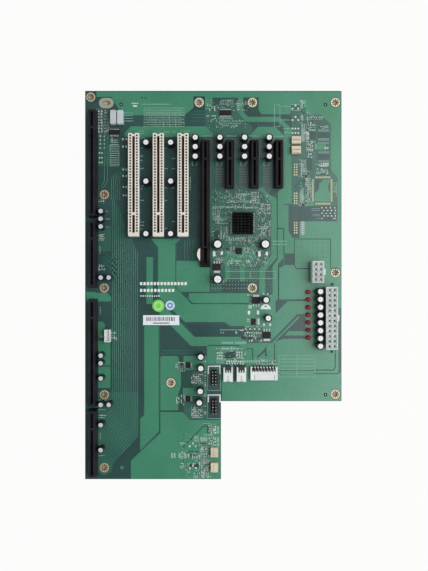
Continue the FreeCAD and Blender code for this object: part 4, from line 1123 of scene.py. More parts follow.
# chip resistors, chip capacitors, their bare pads and plain dashes crowd some corners, with finer clutter
# between them: zones picked on the photo as (x0, y0, x1, y1, share of the places that are filled)
chips = dict(
    length=1.0, width=0.85, height=0.5, lift=0.03, end=0.32, endProud=0.03, endBevel=(0.08, 0.05),
    stepX=2.1, stepY=1.8, driftX=0.2, driftY=0.15, margin=0.6, seed=23,
    weights=dict(resistors=2, ceramics=2, bare=3, dashes=4),
    bareAt=0.62, bareHalf=(0.38, 0.42), bareRise=0.06, dash=(1.4, 0.55, 0.07),
    zones=[
        (212, 206.5, 222, 208.5, 0.9), (223.5, 195.3, 238, 197.8, 0.9), (238, 193.5, 246, 196, 0.9),
        (251, 191.5, 258.5, 203, 0.8), (226, 200.4, 237.5, 202.8, 0.9), (239.5, 197, 245.2, 200, 0.8),
        (246.5, 200.8, 259, 203.2, 0.9), (226, 206.2, 258.5, 208.6, 0.9), (259, 203.5, 269.8, 214, 0.6),
        (212, 210, 219.5, 223, 0.35), (220, 227, 227.4, 239, 0.6), (226, 237.5, 252.5, 241.3, 0.7),
        (254, 238, 258, 240, 0.9), (259.6, 224, 266.5, 236, 0.6), (268, 221, 271, 236, 0.5),
        (229.8, 247, 234.6, 254.6, 0.7), (243.3, 246.8, 249.3, 252.8, 0.9), (217.8, 257, 223.2, 261, 0.8),
        (213.5, 260.5, 221.5, 262.5, 0.8), (246, 259.5, 251.5, 262.5, 0.6), (206, 104, 216, 111, 0.5),
        (207, 114.5, 216, 119.5, 0.5), (300, 100, 304, 109, 0.8), (300, 115, 304, 121, 0.9),
        (301.3, 124, 305.2, 134.5, 0.8), (306, 111, 309.2, 121, 0.6), (310, 116, 323, 119.5, 0.6),
        (310, 123.5, 315.5, 130.5, 0.5), (305.5, 131.5, 309.5, 154, 0.7), (309.5, 141, 314, 151, 0.6),
        (317.5, 125, 329, 128.5, 0.35), (317.5, 144.5, 329, 149.5, 0.35),
        (321, 162.6, 329.5, 167.4, 0.85), (316.5, 168, 325, 174.5, 0.6), (326, 170, 331, 174.5, 0.4),
        (299.5, 160, 303.5, 172.5, 0.8), (304, 160, 306.5, 172, 0.5), (300, 188, 304, 203, 0.8),
        (305, 178, 311, 202, 0.75), (334, 182, 338, 196, 0.7), (300, 173, 307.5, 178, 0.6),
        (299.5, 203, 307, 206.5, 0.8), (110.5, 138, 116.5, 143, 0.6), (97, 199.5, 105, 205.5, 0.5),
        (97, 233.5, 104.5, 241.5, 0.7), (98, 264.5, 105.5, 270.5, 0.7), (97.5, 331, 103, 339, 0.3),
        (111, 331.5, 117.5, 341.5, 0.4), (97.5, 414.5, 106, 420.5, 0.6), (246, 316.5, 250, 326, 0.5),
        (244, 334.5, 262, 336.5, 0.6), (246, 339.6, 262.5, 342, 0.5), (247, 294, 251.5, 300, 0.3),
        (224, 358.6, 236, 360, 0.6), (255.5, 358.5, 276, 365.5, 0.55), (175.5, 361.5, 185, 372, 0.45),
        (175.5, 395, 185, 405.5, 0.45), (192, 373.5, 203, 384, 0.6), (191.5, 407, 202.5, 418, 0.6),
        (203.5, 358.5, 207, 368, 0.8), (203.5, 371, 207, 390, 0.6), (203.5, 391, 207, 397, 0.8),
        (203.5, 401, 207, 415, 0.6), (208, 424, 219, 434.5, 0.55), (208, 437, 219, 446, 0.5),
        (193.5, 435, 199.5, 442, 0.7), (181, 451.5, 198, 458.5, 0.55), (198.5, 444, 209.5, 476, 0.6),
        (181, 462.5, 197, 471, 0.3), (193, 472.5, 209, 478, 0.7),
    ],
)
specks = dict(
    stepX=1.4, stepY=1.3, size=(0.9, 0.5, 0.1), weights=dict(pale=2, dull=4, dark=4),
    zones=[
        (212, 190, 271, 209.5, 0.4), (212, 209.5, 230, 240, 0.35), (256, 209.5, 271, 240, 0.4),
        (228, 235.5, 262, 246, 0.6), (213, 246, 270, 267, 0.5), (300, 100, 306, 134, 0.4),
        (306, 112, 316, 131, 0.3), (306, 139.5, 316, 157, 0.3), (316, 125, 331, 129, 0.25),
        (316, 163.5, 331, 175, 0.25), (299, 158, 306, 205, 0.35), (306, 171, 312, 205, 0.35),
        (206, 98, 252, 111, 0.25), (206, 119, 246, 128, 0.3), (97, 110, 109, 134, 0.5),
        (243, 326, 262, 342, 0.4), (215, 346.5, 246, 366, 0.4), (181, 434, 199, 478, 0.2),
        (199, 444, 211.5, 477, 0.5), (208, 424, 219, 447, 0.4), (191, 373, 203, 385, 0.4),
        (191, 406, 203, 418, 0.4), (255, 358, 277, 366, 0.4),
    ],
)
standing = [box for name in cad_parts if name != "circuit_board" for box in solidsOf(name)]


# whether a part's body stands on this place already
def taken(x, y):
    near = chips["margin"]
    for low, high in standing:
        if low.x - near < x < high.x + near and low.y - near < y < high.y + near:
            return True
    return False


def crowdPlaces(zones, stepX, stepY, weights):
    chance = random.Random(chips["seed"])
    driftX, driftY = chips["driftX"], chips["driftY"]
    kinds = {kind: [] for kind in weights}
    for x0, y0, x1, y1, share in zones:
        across = max(int((x1 - x0) / stepX), 1)
        down = max(int((y1 - y0) / stepY), 1)
        turn = chance.choice((0.0, 90.0))
        for i in range(across * down):
            px = x0 + (x1 - x0) * (i % across + 0.5) / across + chance.uniform(-driftX, driftX)
            py = y0 + (y1 - y0) * (i // across + 0.5) / down + chance.uniform(-driftY, driftY)
            kind = chance.choices(list(weights), list(weights.values()))[0]
            if chance.random() < share and not taken(*spot(px, py)):
                kinds[kind].append((*spot(px, py), boardTop, turn))
    return kinds


def drawChipEnds(bm):
    half, wide = chips["length"] / 2, chips["width"] / 2
    out, top = half + chips["end"], chips["height"] + chips["endProud"]
    bevelX, bevelZ = chips["endBevel"]
    cap = [(half, 0.0), (out, 0.0), (out, chips["height"] - bevelZ), (out - bevelX, top), (half, top)]
    addSheet(bm, cap, -wide, wide)
    addSheet(bm, [(-x, z) for x, z in cap], -wide, wide)


def drawBarePair(bm):
    halfX, halfY = chips["bareHalf"]
    for x in (-chips["bareAt"], chips["bareAt"]):
        addPrism(bm, patch(x - halfX, -halfY, x + halfX, halfY), 0.0, chips["bareRise"])


def buildChips():
    half, wide = chips["length"] / 2, chips["width"] / 2
    body = partMesh(addSheet, patch(-half, chips["lift"], half, chips["height"]), -wide, wide)
    kinds = crowdPlaces(chips["zones"], chips["stepX"], chips["stepY"], chips["weights"])
    scatter("chip_resistors", body, kinds["resistors"], resistorBlack, "chip_epoxy")
    scatter("chip_ceramics", body, kinds["ceramics"], ceramicTan, "chip_epoxy")
    both = kinds["resistors"] + kinds["ceramics"]
    scatter("chip_ends", partMesh(drawChipEnds), both, solderMetal, "tinned_pin")
    scatter("bare_pads", partMesh(drawBarePair), kinds["bare"], solderMetal, "tinned_pin")
    dashes = [(*place, chips["dash"]) for place in kinds["dashes"]]
    scatter("crowd_dashes", unitPlate, dashes, silkInk, "white_label")


def buildSpecks():
    kinds = crowdPlaces(specks["zones"], specks["stepX"], specks["stepY"], specks["weights"])
    for kind, finish in (("pale", solderMetal), ("dull", dimPad), ("dark", pinShade)):
        places = [(*place, specks["size"]) for place in kinds[kind]]
        scatter("specks_" + kind, unitPlate, places, finish, "chip_epoxy")


buildChips()
buildSpecks()

# pads and vias, in rows
pads = dict(
    tinned=dict(part=unitPlate, finish=solderMetal, rows=[
        (98.8, 111.3, 98.8, 131.6, 8, 1.4, 1.0), (101.7, 111.3, 101.7, 131.6, 8, 0.9, 1.5),
        (100.3, 136.2, 100.3, 147.9, 4, 1.2, 1.2), (104.3, 136.2, 104.3, 147.9, 4, 0.9, 0.9),
        (99.6, 153, 99.6, 162.5, 3, 1.3, 1.1), (102, 153, 102, 162.5, 3, 1.3, 1.1),
        (295.5, 105.5, 295.5, 117, 2, 1.5, 1.5), (292.5, 108.7, 292.5, 120, 2, 1.5, 1.5),
        (298.3, 108.7, 298.3, 120, 2, 1.5, 1.5), (292.5, 128.6, 298.3, 128.6, 3, 1.4, 1.4),
        (292.5, 133, 298.3, 133, 3, 1.4, 1.4), (301, 176, 306, 176, 2, 1.6, 1.8),
        (300.6, 204.5, 305.6, 204.5, 2, 1.6, 1.8), (215.3, 426.8, 215.3, 433, 3, 1.5, 1.5),
        (215.3, 438.7, 215.3, 444.7, 3, 1.5, 1.5), (189.7, 446.3, 196, 446.3, 2, 1.5, 1.5),
        (193, 443.3, 1.5, 1.5), (190, 468, 196, 468, 2, 1.5, 1.5), (193, 465.5, 1.5, 1.5),
        (245.6, 329.1, 259.2, 329.1, 4, 1.3, 1.3), (264, 324.7, 270.2, 324.7, 2, 1.6, 2.2),
        (241.8, 330.3, 3.0, 0.8), (263.4, 293.6, 267.6, 294, 2, 1.2, 1.2),
        (250.2, 305.6, 250.2, 308, 3, 3.0, 0.6),
        *((217.6, y, 221.8, y, 3, 1.2, 1.2) for y in (353, 355.6, 358.2)),
        *((237, y, 241.8, y, 3, 1.2, 1.2) for y in (352.4, 355, 357.6)),
        (222.5, 348.6, 237, 348.6, 6, 1.0, 1.2), (122.9, 139.2, 126.2, 139.2, 2, 1.5, 1.7),
        (122.9, 146.6, 126.2, 146.6, 2, 1.5, 1.7), (123.2, 169.5, 126.4, 169.5, 2, 1.4, 1.6),
        (123.2, 176, 126.4, 176, 2, 1.4, 1.6), (123.4, 187, 126.2, 187, 2, 1.2, 1.5),
        (123.6, 195.3, 126.2, 195.3, 2, 1.2, 1.5), (229.6, 261, 233.2, 261, 3, 0.9, 0.9),
        (230.8, 263.2, 232, 263.2, 2, 0.9, 0.9), (236, 261, 239.4, 261, 3, 0.9, 0.9),
        (237, 263.2, 238.4, 263.2, 2, 0.9, 0.9), (246.8, 261.5, 250.6, 261.5, 3, 0.9, 1.0),
        (325.4, 147.8, 327.6, 147.8, 2, 1.3, 1.2), (321.6, 163.6, 328, 163.6, 4, 1.4, 1.0),
        (321.6, 165.6, 328, 165.6, 4, 1.4, 1.0), (302.6, 222, 302.6, 234.5, 7, 1.3, 0.8),
        (310.9, 122.9, 314.4, 124.9, 2, 1.1, 1.2), (310.4, 125.3, 312.6, 125.3, 2, 0.9, 1.1),
        (310.2, 129.8, 314.4, 130.1, 3, 1.0, 1.2), (308.3, 134.2, 308.1, 138, 2, 1.4, 1.2),
        (306.3, 132.8, 1.2, 1.0), (307, 145.2, 311.6, 143.2, 3, 1.0, 1.0),
        (307.3, 149.4, 312.4, 149.6, 3, 1.0, 1.0), (308.8, 154.3, 311, 154.3, 2, 1.2, 0.9),
        (308.4, 156.5, 311.6, 157.4, 2, 1.1, 0.9),
    ]),
    dim=dict(part=unitPlate, finish=dimPad, rows=[
        (105.3, 113, 105.3, 131.6, 7, 1.8, 1.2), (108.3, 119, 108.3, 131, 5, 1.3, 1.2),
        (220, 359.3, 220, 362.7, 3, 6.6, 0.6), (203.7, 439.2, 6.2, 3.6), (196.3, 476.4, 5.4, 3.0),
        (211.6, 427.2, 211.6, 434.4, 6, 3.4, 0.7), (211.6, 438.6, 211.6, 446, 6, 3.4, 0.7),
        (185.2, 453.8, 185.2, 457.4, 2, 3.2, 1.6), (196.3, 438.2, 196.3, 440.6, 2, 3.2, 1.1),
        (114.4, 140, 114.4, 164.4, 12, 7.2, 0.7), (224.3, 196.6, 243.6, 196.6, 9, 1.3, 1.6),
        (227, 201.4, 251.5, 201.4, 14, 1.1, 1.6), (239.4, 194, 251.2, 194, 6, 1.4, 1.5),
        *((x, 192.6, x, 203, 7, 1.2, 0.8) for x in (252.8, 255.6, 258.4)),
        (213.2, 207.3, 222.8, 207.3, 6, 1.1, 1.6), (226.4, 207, 243.4, 207, 9, 1.2, 1.5),
        (245.6, 207.7, 257.2, 207.7, 8, 0.9, 1.6), (261.2, 206.6, 0.8, 6.0), (264.5, 209, 0.8, 8.6),
        (267.5, 207, 0.8, 5.0), (270, 210, 0.7, 8.0), (213.2, 215, 0.6, 9.0), (215.4, 215.6, 0.6, 10.0),
        (217.4, 216.4, 0.6, 10.6), (219.4, 217, 0.6, 9.0), (220.6, 219.2, 226, 219.2, 4, 1.1, 0.9),
        (222, 223.4, 11.4, 0.6),
        *((221.2, y, 227.2, y, 3, 1.1, 1.0) for y in (228, 230.4, 232.8, 235.2, 237.6)),
        (226.6, 240, 235.6, 240, 5, 1.3, 1.1), (241.8, 237.8, 241.8, 240.4, 2, 8.4, 0.6),
        (248.6, 237.6, 257, 237.6, 5, 1.1, 1.0), (248.6, 240.6, 257, 240.6, 5, 1.1, 1.0),
        (259.6, 236, 265.6, 225.6, 6, 1.2, 1.6), (262.6, 237, 268, 227, 6, 1.0, 1.4),
        (270, 222, 270, 235, 7, 1.5, 0.7), (242.2, 248.4, 250.6, 248.4, 6, 0.7, 2.0),
        (242.2, 252, 250.6, 252, 6, 0.7, 2.0), (230.6, 248, 230.6, 254, 4, 1.2, 0.8),
        (233.6, 248, 233.6, 254, 4, 1.2, 0.8), (215, 259, 222, 259, 4, 1.1, 1.0),
        (215, 262, 222, 262, 4, 1.1, 1.0), (326.8, 127.2, 2.6, 1.5),
        (310.2, 124.6, 315, 124.6, 4, 0.9, 0.8), (310.2, 127.4, 315, 127.4, 4, 0.9, 0.8),
        (302.8, 124.8, 302.8, 135.4, 7, 2.0, 1.0), (306, 125, 308.4, 125, 2, 0.9, 0.9),
        (306, 128.6, 308.4, 128.6, 2, 0.9, 0.9),
        *((306.4, y, 312, y, 4, 0.9, 0.9) for y in (141.4, 144.6, 147.8, 151)), (315.7, 146.2, 0.9, 5.0),
        (302.2, 160.4, 302.2, 172, 8, 1.5, 1.0), (305.2, 160.4, 305.2, 172, 8, 1.1, 1.0),
        (316.6, 170, 327.4, 170, 6, 1.1, 1.0), (316.6, 172.6, 327.4, 172.6, 6, 1.1, 1.0),
        (299.9, 175.8, 305.8, 175.8, 2, 1.7, 2.6), (308.2, 190.4, 1.4, 20.0),
        (310.8, 183, 310.8, 201, 12, 0.9, 0.8), (301.8, 189, 301.8, 202.4, 9, 1.7, 1.0),
        (299.9, 204.9, 305.8, 204.9, 2, 1.7, 2.4), (334, 183, 334, 192, 6, 1.0, 0.9),
        (336.4, 183, 336.4, 192, 6, 1.0, 0.9), (301.5, 104.6, 301.5, 108.6, 4, 2.2, 0.7),
        (302.2, 115.6, 302.2, 119.4, 4, 2.2, 0.7), (307, 116.6, 324, 116.6, 9, 1.1, 0.7),
        (307, 119.4, 322, 119.4, 8, 1.1, 0.7), (221, 102, 233, 102, 6, 1.2, 1.1),
        (219.5, 118.4, 232, 118.4, 7, 1.0, 1.3), (219.5, 123.4, 240, 123.4, 10, 1.0, 1.1),
        (238.6, 101, 238.6, 110, 5, 3.4, 0.8),
    ]),
    ghost=dict(part=unitPlate, finish=greyInk, rows=[
        *((x, y, x + 4.8, y, 3, 1.7, 0.45) for x in (216.9, 240.7, 264)
          for y in (169, 171.6, 174.2, 176.8, 179.4, 182)),
        *((318.6, y, 328.6, y, 11, 0.66, 2.1) for y in (130.5, 139.4, 152.4, 161.3)),
        *((x, 269, x, 292, 10, 0.5, 0.5) for x in (266.9, 268.8, 270.7)),
        *((x, y, x + reach, y, 5, 1.0, 0.45) for x, reach in ((231, 7.4), (247, 9.6))
          for y in (269.4, 273.2, 275.8)),
        (315.6, 208.6, 315.6, 210.4, 2, 7.6, 0.6), (316.2, 214.4, 316.2, 215.7, 2, 6.4, 0.5),
        (319, 218.4, 5.0, 0.5),
    ]),
    gold=dict(part=unitPlate, finish=goldPad, rows=[
        *((x, y0, x, y1, 5, 1.1, 1.2) for y0, y1 in ((164.5, 174.8), (193.3, 203.2), (222.8, 232.8))
          for x in (294.6, 296.8)),
        *((315.3, y, 330, y, 22, 0.32, 1.6) for y in (177.3, 203.7)),
        *((x, 179.4, x, 201.4, 32, 1.6, 0.32) for x in (312.8, 331.6)),
    ]),
    vias=dict(part=unitDot, finish=silkInk, rows=[
        (322, 207.7, 334.6, 207.7, 4, 1.2, 1.2), (323.8, 210.5, 335.3, 210.5, 4, 1.3, 1.2),
        (322, 213.3, 334.6, 213.3, 4, 1.2, 1.2), (324.2, 215.9, 335.3, 215.9, 4, 1.3, 1.2),
        (322.1, 218.5, 1.2, 1.2), (333.8, 218.5, 335.4, 218.5, 2, 0.9, 1.2),
        *((212, y, 256, y, 16, 0.55, 0.55) for y in (281, 284.6, 288.2)),
    ]),
    pits=dict(part=unitDot, finish=gapMask, rows=[
        *((297, y, 328, y, 7, 0.8, 0.8) for y in (242, 247, 252, 257, 262)),
        (281, 303, 303, 303, 5, 0.8, 0.8), (226, 388, 336, 388, 22, 0.7, 0.7),
        (226, 393.5, 318, 393.5, 19, 0.7, 0.7),
    ]),
)
padRise = 0.1
for name, look in pads.items():
    scatter("pads_" + name, look["part"], padPlaces(look["rows"], padRise), look["finish"], "tinned_pin")

# ink: frames, lines and blocks as drawn, and rows of plain dashes
ink = dict(
    rise=0.11, shadeRise=0.132, fine=0.5, bold=1.45,
    ringRise=0.1, targetDot=(0.96, 0.96, 0.1), darkRing=(0.5, 1.5), thinRing=(0.85, 1.2), ringSides=16,
    openRing=(1.9, 2.4), openSteps=8, openStarts=(-55.0, 125.0), openSweep=110.0,
    dashHeight=0.85, dashShare=(0.8, 1.0), dashReach=(0.5, 1.3), dashGap=(0.3, 0.6), dashLeast=0.5, seed=11,
    halfMoon=dict(place=(265.6, 309.2), radius=4.3, steps=14),
    lines=[
        closed(patch(144.1, 108, 184, 126.6)),
        *([(144.1, y), (184, y)] for y in (112.2, 115.5, 119.2, 122.7)),
        *([(x, 115.5), (x, 126.6)] for x in (155.3, 163.4, 169.4, 175.6)),
        [(226, 271.3), (275.4, 271.3), (275.4, 278.3), (226, 278.3)], [(250.2, 271.3), (250.2, 278.3)],
        closed(patch(279, 355.5, 315, 377)), *([(279, y), (315, y)] for y in (362, 369.5)),
        [(297, 355.5), (297, 377)], closed(patch(274.3, 105, 280, 126.5)),
        closed(patch(110, 145, 119, 166)), *([(124, y), (133, y)] for y in (113, 115.7, 118.4, 121)),
        closed(patch(290.6, 104.4, 300.4, 110.6)),
        [(207.6, 374), (207.6, 390.4), (220.6, 390.4), (220.6, 374)],
        [(207.6, 402), (207.6, 418.6), (220.4, 418.6)],
    ],
    boldLines=[
        [(208.2, 374), (208.2, 366.2), (220, 366.2), (220, 374)],
        [(208.2, 402.5), (208.2, 395), (220, 395), (220, 402.5)],
    ],
    outlines=[(194.6, 163.6), (219.4, 164), (243.2, 164), (266.4, 164)],
    targets=[(325.4, 104.6), (325.5, 394.7), (121.2, 104.3)],
    paleTargets=[(122, 467.7)],
    blocks=[
        (248.9, 312.6, 1.9, 3.2), (258, 312.6, 1.9, 3.4), (258.6, 321.4, 1.4, 5.4),
        (245.3, 332.8, 261, 332.8, 8, 0.8, 0.8), (214.2, 253.8, 2.3, 4.4), (221.8, 253.2, 1.9, 2.8),
        (259.4, 253.8, 2.1, 4.4), (266.8, 253.5, 1.7, 3.0), (231.2, 222.7, 0.5, 18.0),
        (253.8, 213.8, 253.8, 231.8, 9, 0.7, 0.8), (141.2, 283.6, 185.6, 283.6, 14, 2.0, 2.6),
        (141.2, 290.4, 173, 290.4, 10, 2.0, 2.6), (141, 296, 159, 296, 9, 1.0, 1.1),
        (132.4, 103.4, 137.6, 103.4, 4, 0.9, 0.9), (135, 105.8, 3.2, 1.7),
        (227, 361.4, 243, 361.4, 8, 0.9, 1.2), (227, 363.6, 243, 363.6, 7, 0.9, 0.8),
    ],
    faintBlocks=[
        (236.2, 332.4, 1.6, 2.2), (221, 332.6, 223.4, 332.6, 2, 0.8, 1.4),
        (222.4, 342.8, 232.6, 342.8, 7, 1.0, 1.9), (235.6, 342.8, 245.6, 342.8, 7, 1.0, 1.9),
        (245.4, 361.4, 256, 361.4, 6, 1.2, 2.0), (257, 361, 275, 361, 8, 0.8, 1.6),
        (257, 364, 275, 364, 8, 0.8, 1.0), (204, 424, 209, 424, 4, 1.0, 1.6),
        (204.6, 434.8, 209, 434.8, 3, 1.0, 1.6), (180.6, 443.3, 185.6, 443.3, 4, 1.0, 1.6),
        (180.6, 466.8, 185.6, 466.8, 4, 1.0, 1.6), (172, 455.5, 174.6, 455.5, 2, 1.5, 4.4),
        (179.6, 455.5, 1.8, 4.4), (218, 428, 218, 432, 2, 1.8, 2.6), (218, 440, 218, 444.6, 2, 1.8, 2.6),
    ],
    shades=[
        (243.7, 337.8, 4.4, 2.6), (250.2, 338.2, 3.6, 1.9), (259, 338.6, 3.2, 1.6),
        (245.4, 331, 259.2, 331, 4, 2.2, 0.9), (332.1, 284.3, 2.4, 2.3), (331.7, 351.6, 2.3, 2.2),
        (227.6, 249, 2.2, 1.6), (256.8, 253.8, 1.6, 3.6), (265.6, 306.4, 1.6, 0.9),
        (302.8, 175.8, 1.5, 1.5), (302.8, 204.9, 1.5, 1.5), (142.3, 97.5, 145.5, 98.1, 2, 0.9, 1.6),
    ],
    # dashes run from one pixel to another
    words=[
        (132.5, 105.2, 137.5, 105.2), (142, 104.3, 171, 104.3),
        *((146, y, 182, y) for y in (110.2, 113.9, 117.4, 121, 124.7)), (203, 136, 212, 136),
        (226.5, 136, 236.5, 136), (249.5, 136, 259.5, 136), (273.5, 136.3, 284, 136.3),
        (221.5, 100.2, 233, 100.2), (219.5, 104, 233.5, 104), (234, 104, 252, 104),
        (219.5, 121, 230, 121), (232, 121, 244, 121), (222, 125.5, 229, 125.5), (231, 126, 238.5, 126),
        (282, 106.3, 290, 106.3), (282, 120, 289.5, 120), (283, 128.6, 290.5, 128.6),
        (284, 132.4, 290.5, 132.4), (302.5, 100, 302.5, 109), (302, 124, 302, 134),
        (307.5, 111, 307.5, 113.5), (318, 143, 329, 143), (318, 164.6, 329, 164.6), (316, 172, 326, 172),
        (302.5, 190, 302.5, 202), (98, 201.5, 105, 201.5), (105, 211.5, 109, 211.5), (105, 219, 110, 219),
        (105, 227, 109, 227), (98, 235.5, 104, 235.5), (98, 240, 104, 240), (100, 246.5, 100, 253.5),
        (98.5, 266, 105, 266), (98.5, 269.5, 105, 269.5), (100.2, 306.8, 100.2, 314),
        (111, 333, 117, 333), (111, 338, 117, 338), (98, 350, 101.5, 350), (98.5, 372, 102, 372),
        (97, 400, 111, 400), (97, 409.6, 105, 409.6), (98.5, 417.5, 105.5, 417.5),
        (100.2, 433, 100.2, 439), (98, 444.5, 104, 444.5), (98, 455.5, 105, 455.5),
        (216, 348.5, 244, 348.5), (220, 329.8, 242.5, 329.8),
        *((281, y, 313, y) for y in (359, 366, 373.5)), (203, 424.5, 209, 424.5), (181, 443, 187, 443),
        (183, 453.5, 187, 453.5), (183, 456.5, 187, 456.5), (181, 467, 187, 467), (194, 437, 198, 437),
        (194, 441, 198, 441), (193, 475.5, 208, 475.5), (180.5, 131, 190, 131), (139.5, 131, 144.5, 131),
        (139.5, 133.6, 144, 133.6), (140, 138, 145, 138),
        *((140, y, 143.5, y) for y in (148, 156, 160.5)), (140, 168.6, 144, 168.6),
        (141, 186, 143.5, 186), (141, 188.6, 143.5, 188.6), (140, 200.4, 144, 200.4),
        (140, 222, 144.5, 222), (140, 225.4, 144.5, 225.4), (140, 229, 143, 229), (164.5, 132, 170, 132),
        (172, 132, 176, 132), (164.5, 148.4, 167, 148.4), (172, 158.5, 175, 158.5),
        (164.5, 168.6, 168, 168.6), (172, 168.6, 175.5, 168.6), (164.5, 188, 167, 188),
        (172, 188, 175, 188), (164.5, 200.4, 168, 200.4), (172, 221.5, 175.5, 221.5),
        (164.5, 228.5, 167.5, 228.5), (190.2, 177, 190.2, 190), (273, 241.2, 286.5, 241.2),
        (273, 244.3, 286.5, 244.3),
    ],
)


def dashPlaces():
    chance = random.Random(ink["seed"])
    places = []
    for x0, y0, x1, y1 in ink["words"]:
        start, end = Vector(spot(x0, y0)), Vector(spot(x1, y1))
        length = (end - start).length
        turn = math.degrees(math.atan2(end.y - start.y, end.x - start.x))
        done = 0.0
        while done < length - ink["dashLeast"]:
            dash = min(chance.uniform(*ink["dashReach"]), length - done)
            x, y = start + (end - start) * ((done + dash / 2) / length)
            size = (dash, ink["dashHeight"] * chance.uniform(*ink["dashShare"]), ink["rise"])
            places.append((x, y, boardTop, turn, size))
            done += dash + chance.uniform(*ink["dashGap"])
    return places


def buildInk():
    lines = [onBoard(line) for line in ink["lines"]]
    ribbons("ink_lines", lines, ink["fine"], ink["rise"], faintInk, "white_label")
    lines = [onBoard(line) for line in ink["boldLines"]]
    ribbons("ink_brackets", lines, ink["bold"], ink["rise"], boldInk, "white_label")
    bold = padPlaces(ink["blocks"], ink["rise"])
    scatter("ink_blocks", unitPlate, bold, boldInk, "white_label")
    faint = padPlaces(ink["faintBlocks"], ink["rise"])
    scatter("ink_faint_blocks", unitPlate, faint, faintInk, "white_label")
    shades = padPlaces(ink["shades"], ink["shadeRise"])
    scatter("ink_shades", unitPlate, shades, pinShade, "black_plastic")
    scatter("ink_dashes", unitPlate, dashPlaces(), faintInk, "white_label")


def buildHalfMoon():
    moon = ink["halfMoon"]
    x, y = spot(*moon["place"])
    turns = [math.pi * i / moon["steps"] for i in range(moon["steps"] + 1)]
    points = [(x + moon["radius"] * math.cos(a), y + moon["radius"] * math.sin(a)) for a in turns]
    mesh = partMesh(addPrism, points, boardTop, boardTop + ink["rise"])
    settle("ink_half_moon", mesh, boldInk, "white_label")


# round targets for the machine that places the parts, and round outlines left open above and below
def drawOutline(bm):
    section = washer(*ink["openRing"], 0.0, ink["ringRise"])
    for start in ink["openStarts"]:
        addTurned(bm, section, ink["openSteps"], start, ink["openSweep"])


def buildTargets():
    dark, thin = (partMesh(addTurned, washer(*ink[key], 0.0, ink["ringRise"]), ink["ringSides"])
                  for key in ("darkRing", "thinRing"))
    dots = [(*spot(*p), boardTop, 0.0, ink["targetDot"]) for p in ink["targets"]]
    scatter("ink_target_dots", unitDot, dots, silkInk, "white_label")
    split = partMesh(drawOutline)
    rings = (("targets", dark, targetInk), ("paleTargets", thin, faintInk), ("outlines", split, faintInk))
    for name, ring, finish in rings:
        places = [(*spot(*p), boardTop, 0.0) for p in ink[name]]
        scatter("ink_" + name, ring, places, finish, "white_label")


# marks moulded or printed on the tops of connectors, and dark plates that paint the shade in the headers'
# recessed combs
marks = [
    *(dict(node=node, name="marks", finish=greyInk, rows=[
        (x, 377.4, 0.5, 2.4), (x, 379.6, 1.8, 0.5), (x, 381.3, 3.6, 0.6)])
      for node, x in (("small_header_1", 228.1), ("small_header_2", 241.5))),
    # dark plates on the small headers' tops: painted shade of the comb's recess and teeth gaps
    *(dict(node=node, name="comb", finish=pinShade, rows=[
        (x, 368.7, 4.9, 2.8), (x - 2.3, 371.6, x + 2.3, 371.6, 3, 1.0, 2.2)])
      for node, x in (("small_header_1", 228.2), ("small_header_2", 241.6))),
    # dark plates on the wide header's top: painted shade of its comb
    dict(node="wide_header", name="comb", finish=pinShade, rows=[
        (254.9, 369.9, 272.8, 369.9, 7, 1.2, 3.4), (252.4, 369.9, 275.2, 369.9, 2, 0.7, 3.4)]),
    dict(node="wide_header", name="marks", finish=greyInk, rows=[(254.6, 377.6, 274.6, 377.6, 2, 0.5, 4.0)]),
    dict(node="cream_wafer_1", name="marks", finish=tanInk, rows=[
        (293.6, 139.6, 299.6, 139.6, 5, 1.0, 1.3), (296.4, 143.4, 6.0, 0.5)]),
    dict(node="cream_wafer_2", name="marks", finish=tanInk, rows=[
        (293.6, 149.4, 299.6, 149.4, 5, 1.0, 1.2), (296.4, 152.6, 6.0, 0.5)]),
    dict(node="cream_wafer_3", name="marks", finish=tanInk, rows=[(213.4, 450.6, 213.4, 455.6, 3, 0.9, 0.9)]),
    dict(node="cream_wafer_4", name="marks", finish=tanInk, rows=[(213.4, 466, 213.4, 471, 3, 0.9, 0.9)]),
]
markRise, markBite = 0.05, 0.02


def buildMarks(node, name, finish, rows):
    rise = boxOf(node)[1].z - boardTop - markBite
    scatter(node + "_" + name, unitPlate, padPlaces(rows, markRise, rise), finish, "white_label")


buildInk()
buildHalfMoon()
buildTargets()
for look in marks:
    buildMarks(**look)

# stickers: plain bars on the label, rings on the discs
labelBars = dict(
    barHeight=3.4, barDrop=3.2, margins=(3.0, 3.4), bars=(0.25, 0.4, 0.6), gaps=(0.3, 0.45, 0.6), seed=5,
    line=(14.0, 0.8), lineRise=1.7, thick=0.04, bite=0.02,
)
discs = dict(
    green_sticker=dict(inner=2.2, outer=3.6, finish=paleGreenPaper),
    blue_sticker=dict(inner=1.2, outer=2.4, finish=deepBlueInk),
)
discThick, discBite, discSides = 0.03, 0.01, 32


def buildLabel():
    low, high = boxOf("label_sticker")
    chance = random.Random(labelBars["seed"])
    rise, thick = high.z - labelBars["bite"], labelBars["thick"]
    places = []
    x = low.x + labelBars["margins"][0]
    while x < high.x - labelBars["margins"][1]:
        width = chance.choice(labelBars["bars"])
        places.append((x, high.y - labelBars["barDrop"], rise, 0.0, (width, labelBars["barHeight"], thick)))
        x += width + chance.choice(labelBars["gaps"])
    middle = (low.x + high.x) / 2
    places.append((middle, low.y + labelBars["lineRise"], rise, 0.0, (*labelBars["line"], thick)))
    scatter("label_bars", unitPlate, places, darkInk, "white_label")


def buildDisc(node, inner, outer, finish):
    low, high = boxOf(node)
    place = ((low.x + high.x) / 2, (low.y + high.y) / 2, high.z - discBite, 0.0)
    ring = partMesh(addTurned, washer(inner, outer, 0.0, discThick), discSides)
    scatter(node + "_ring", ring, [place], finish, "white_label")


buildLabel()
for node, look in discs.items():
    buildDisc(node, **look)
print("small parts, pads and ink ready")

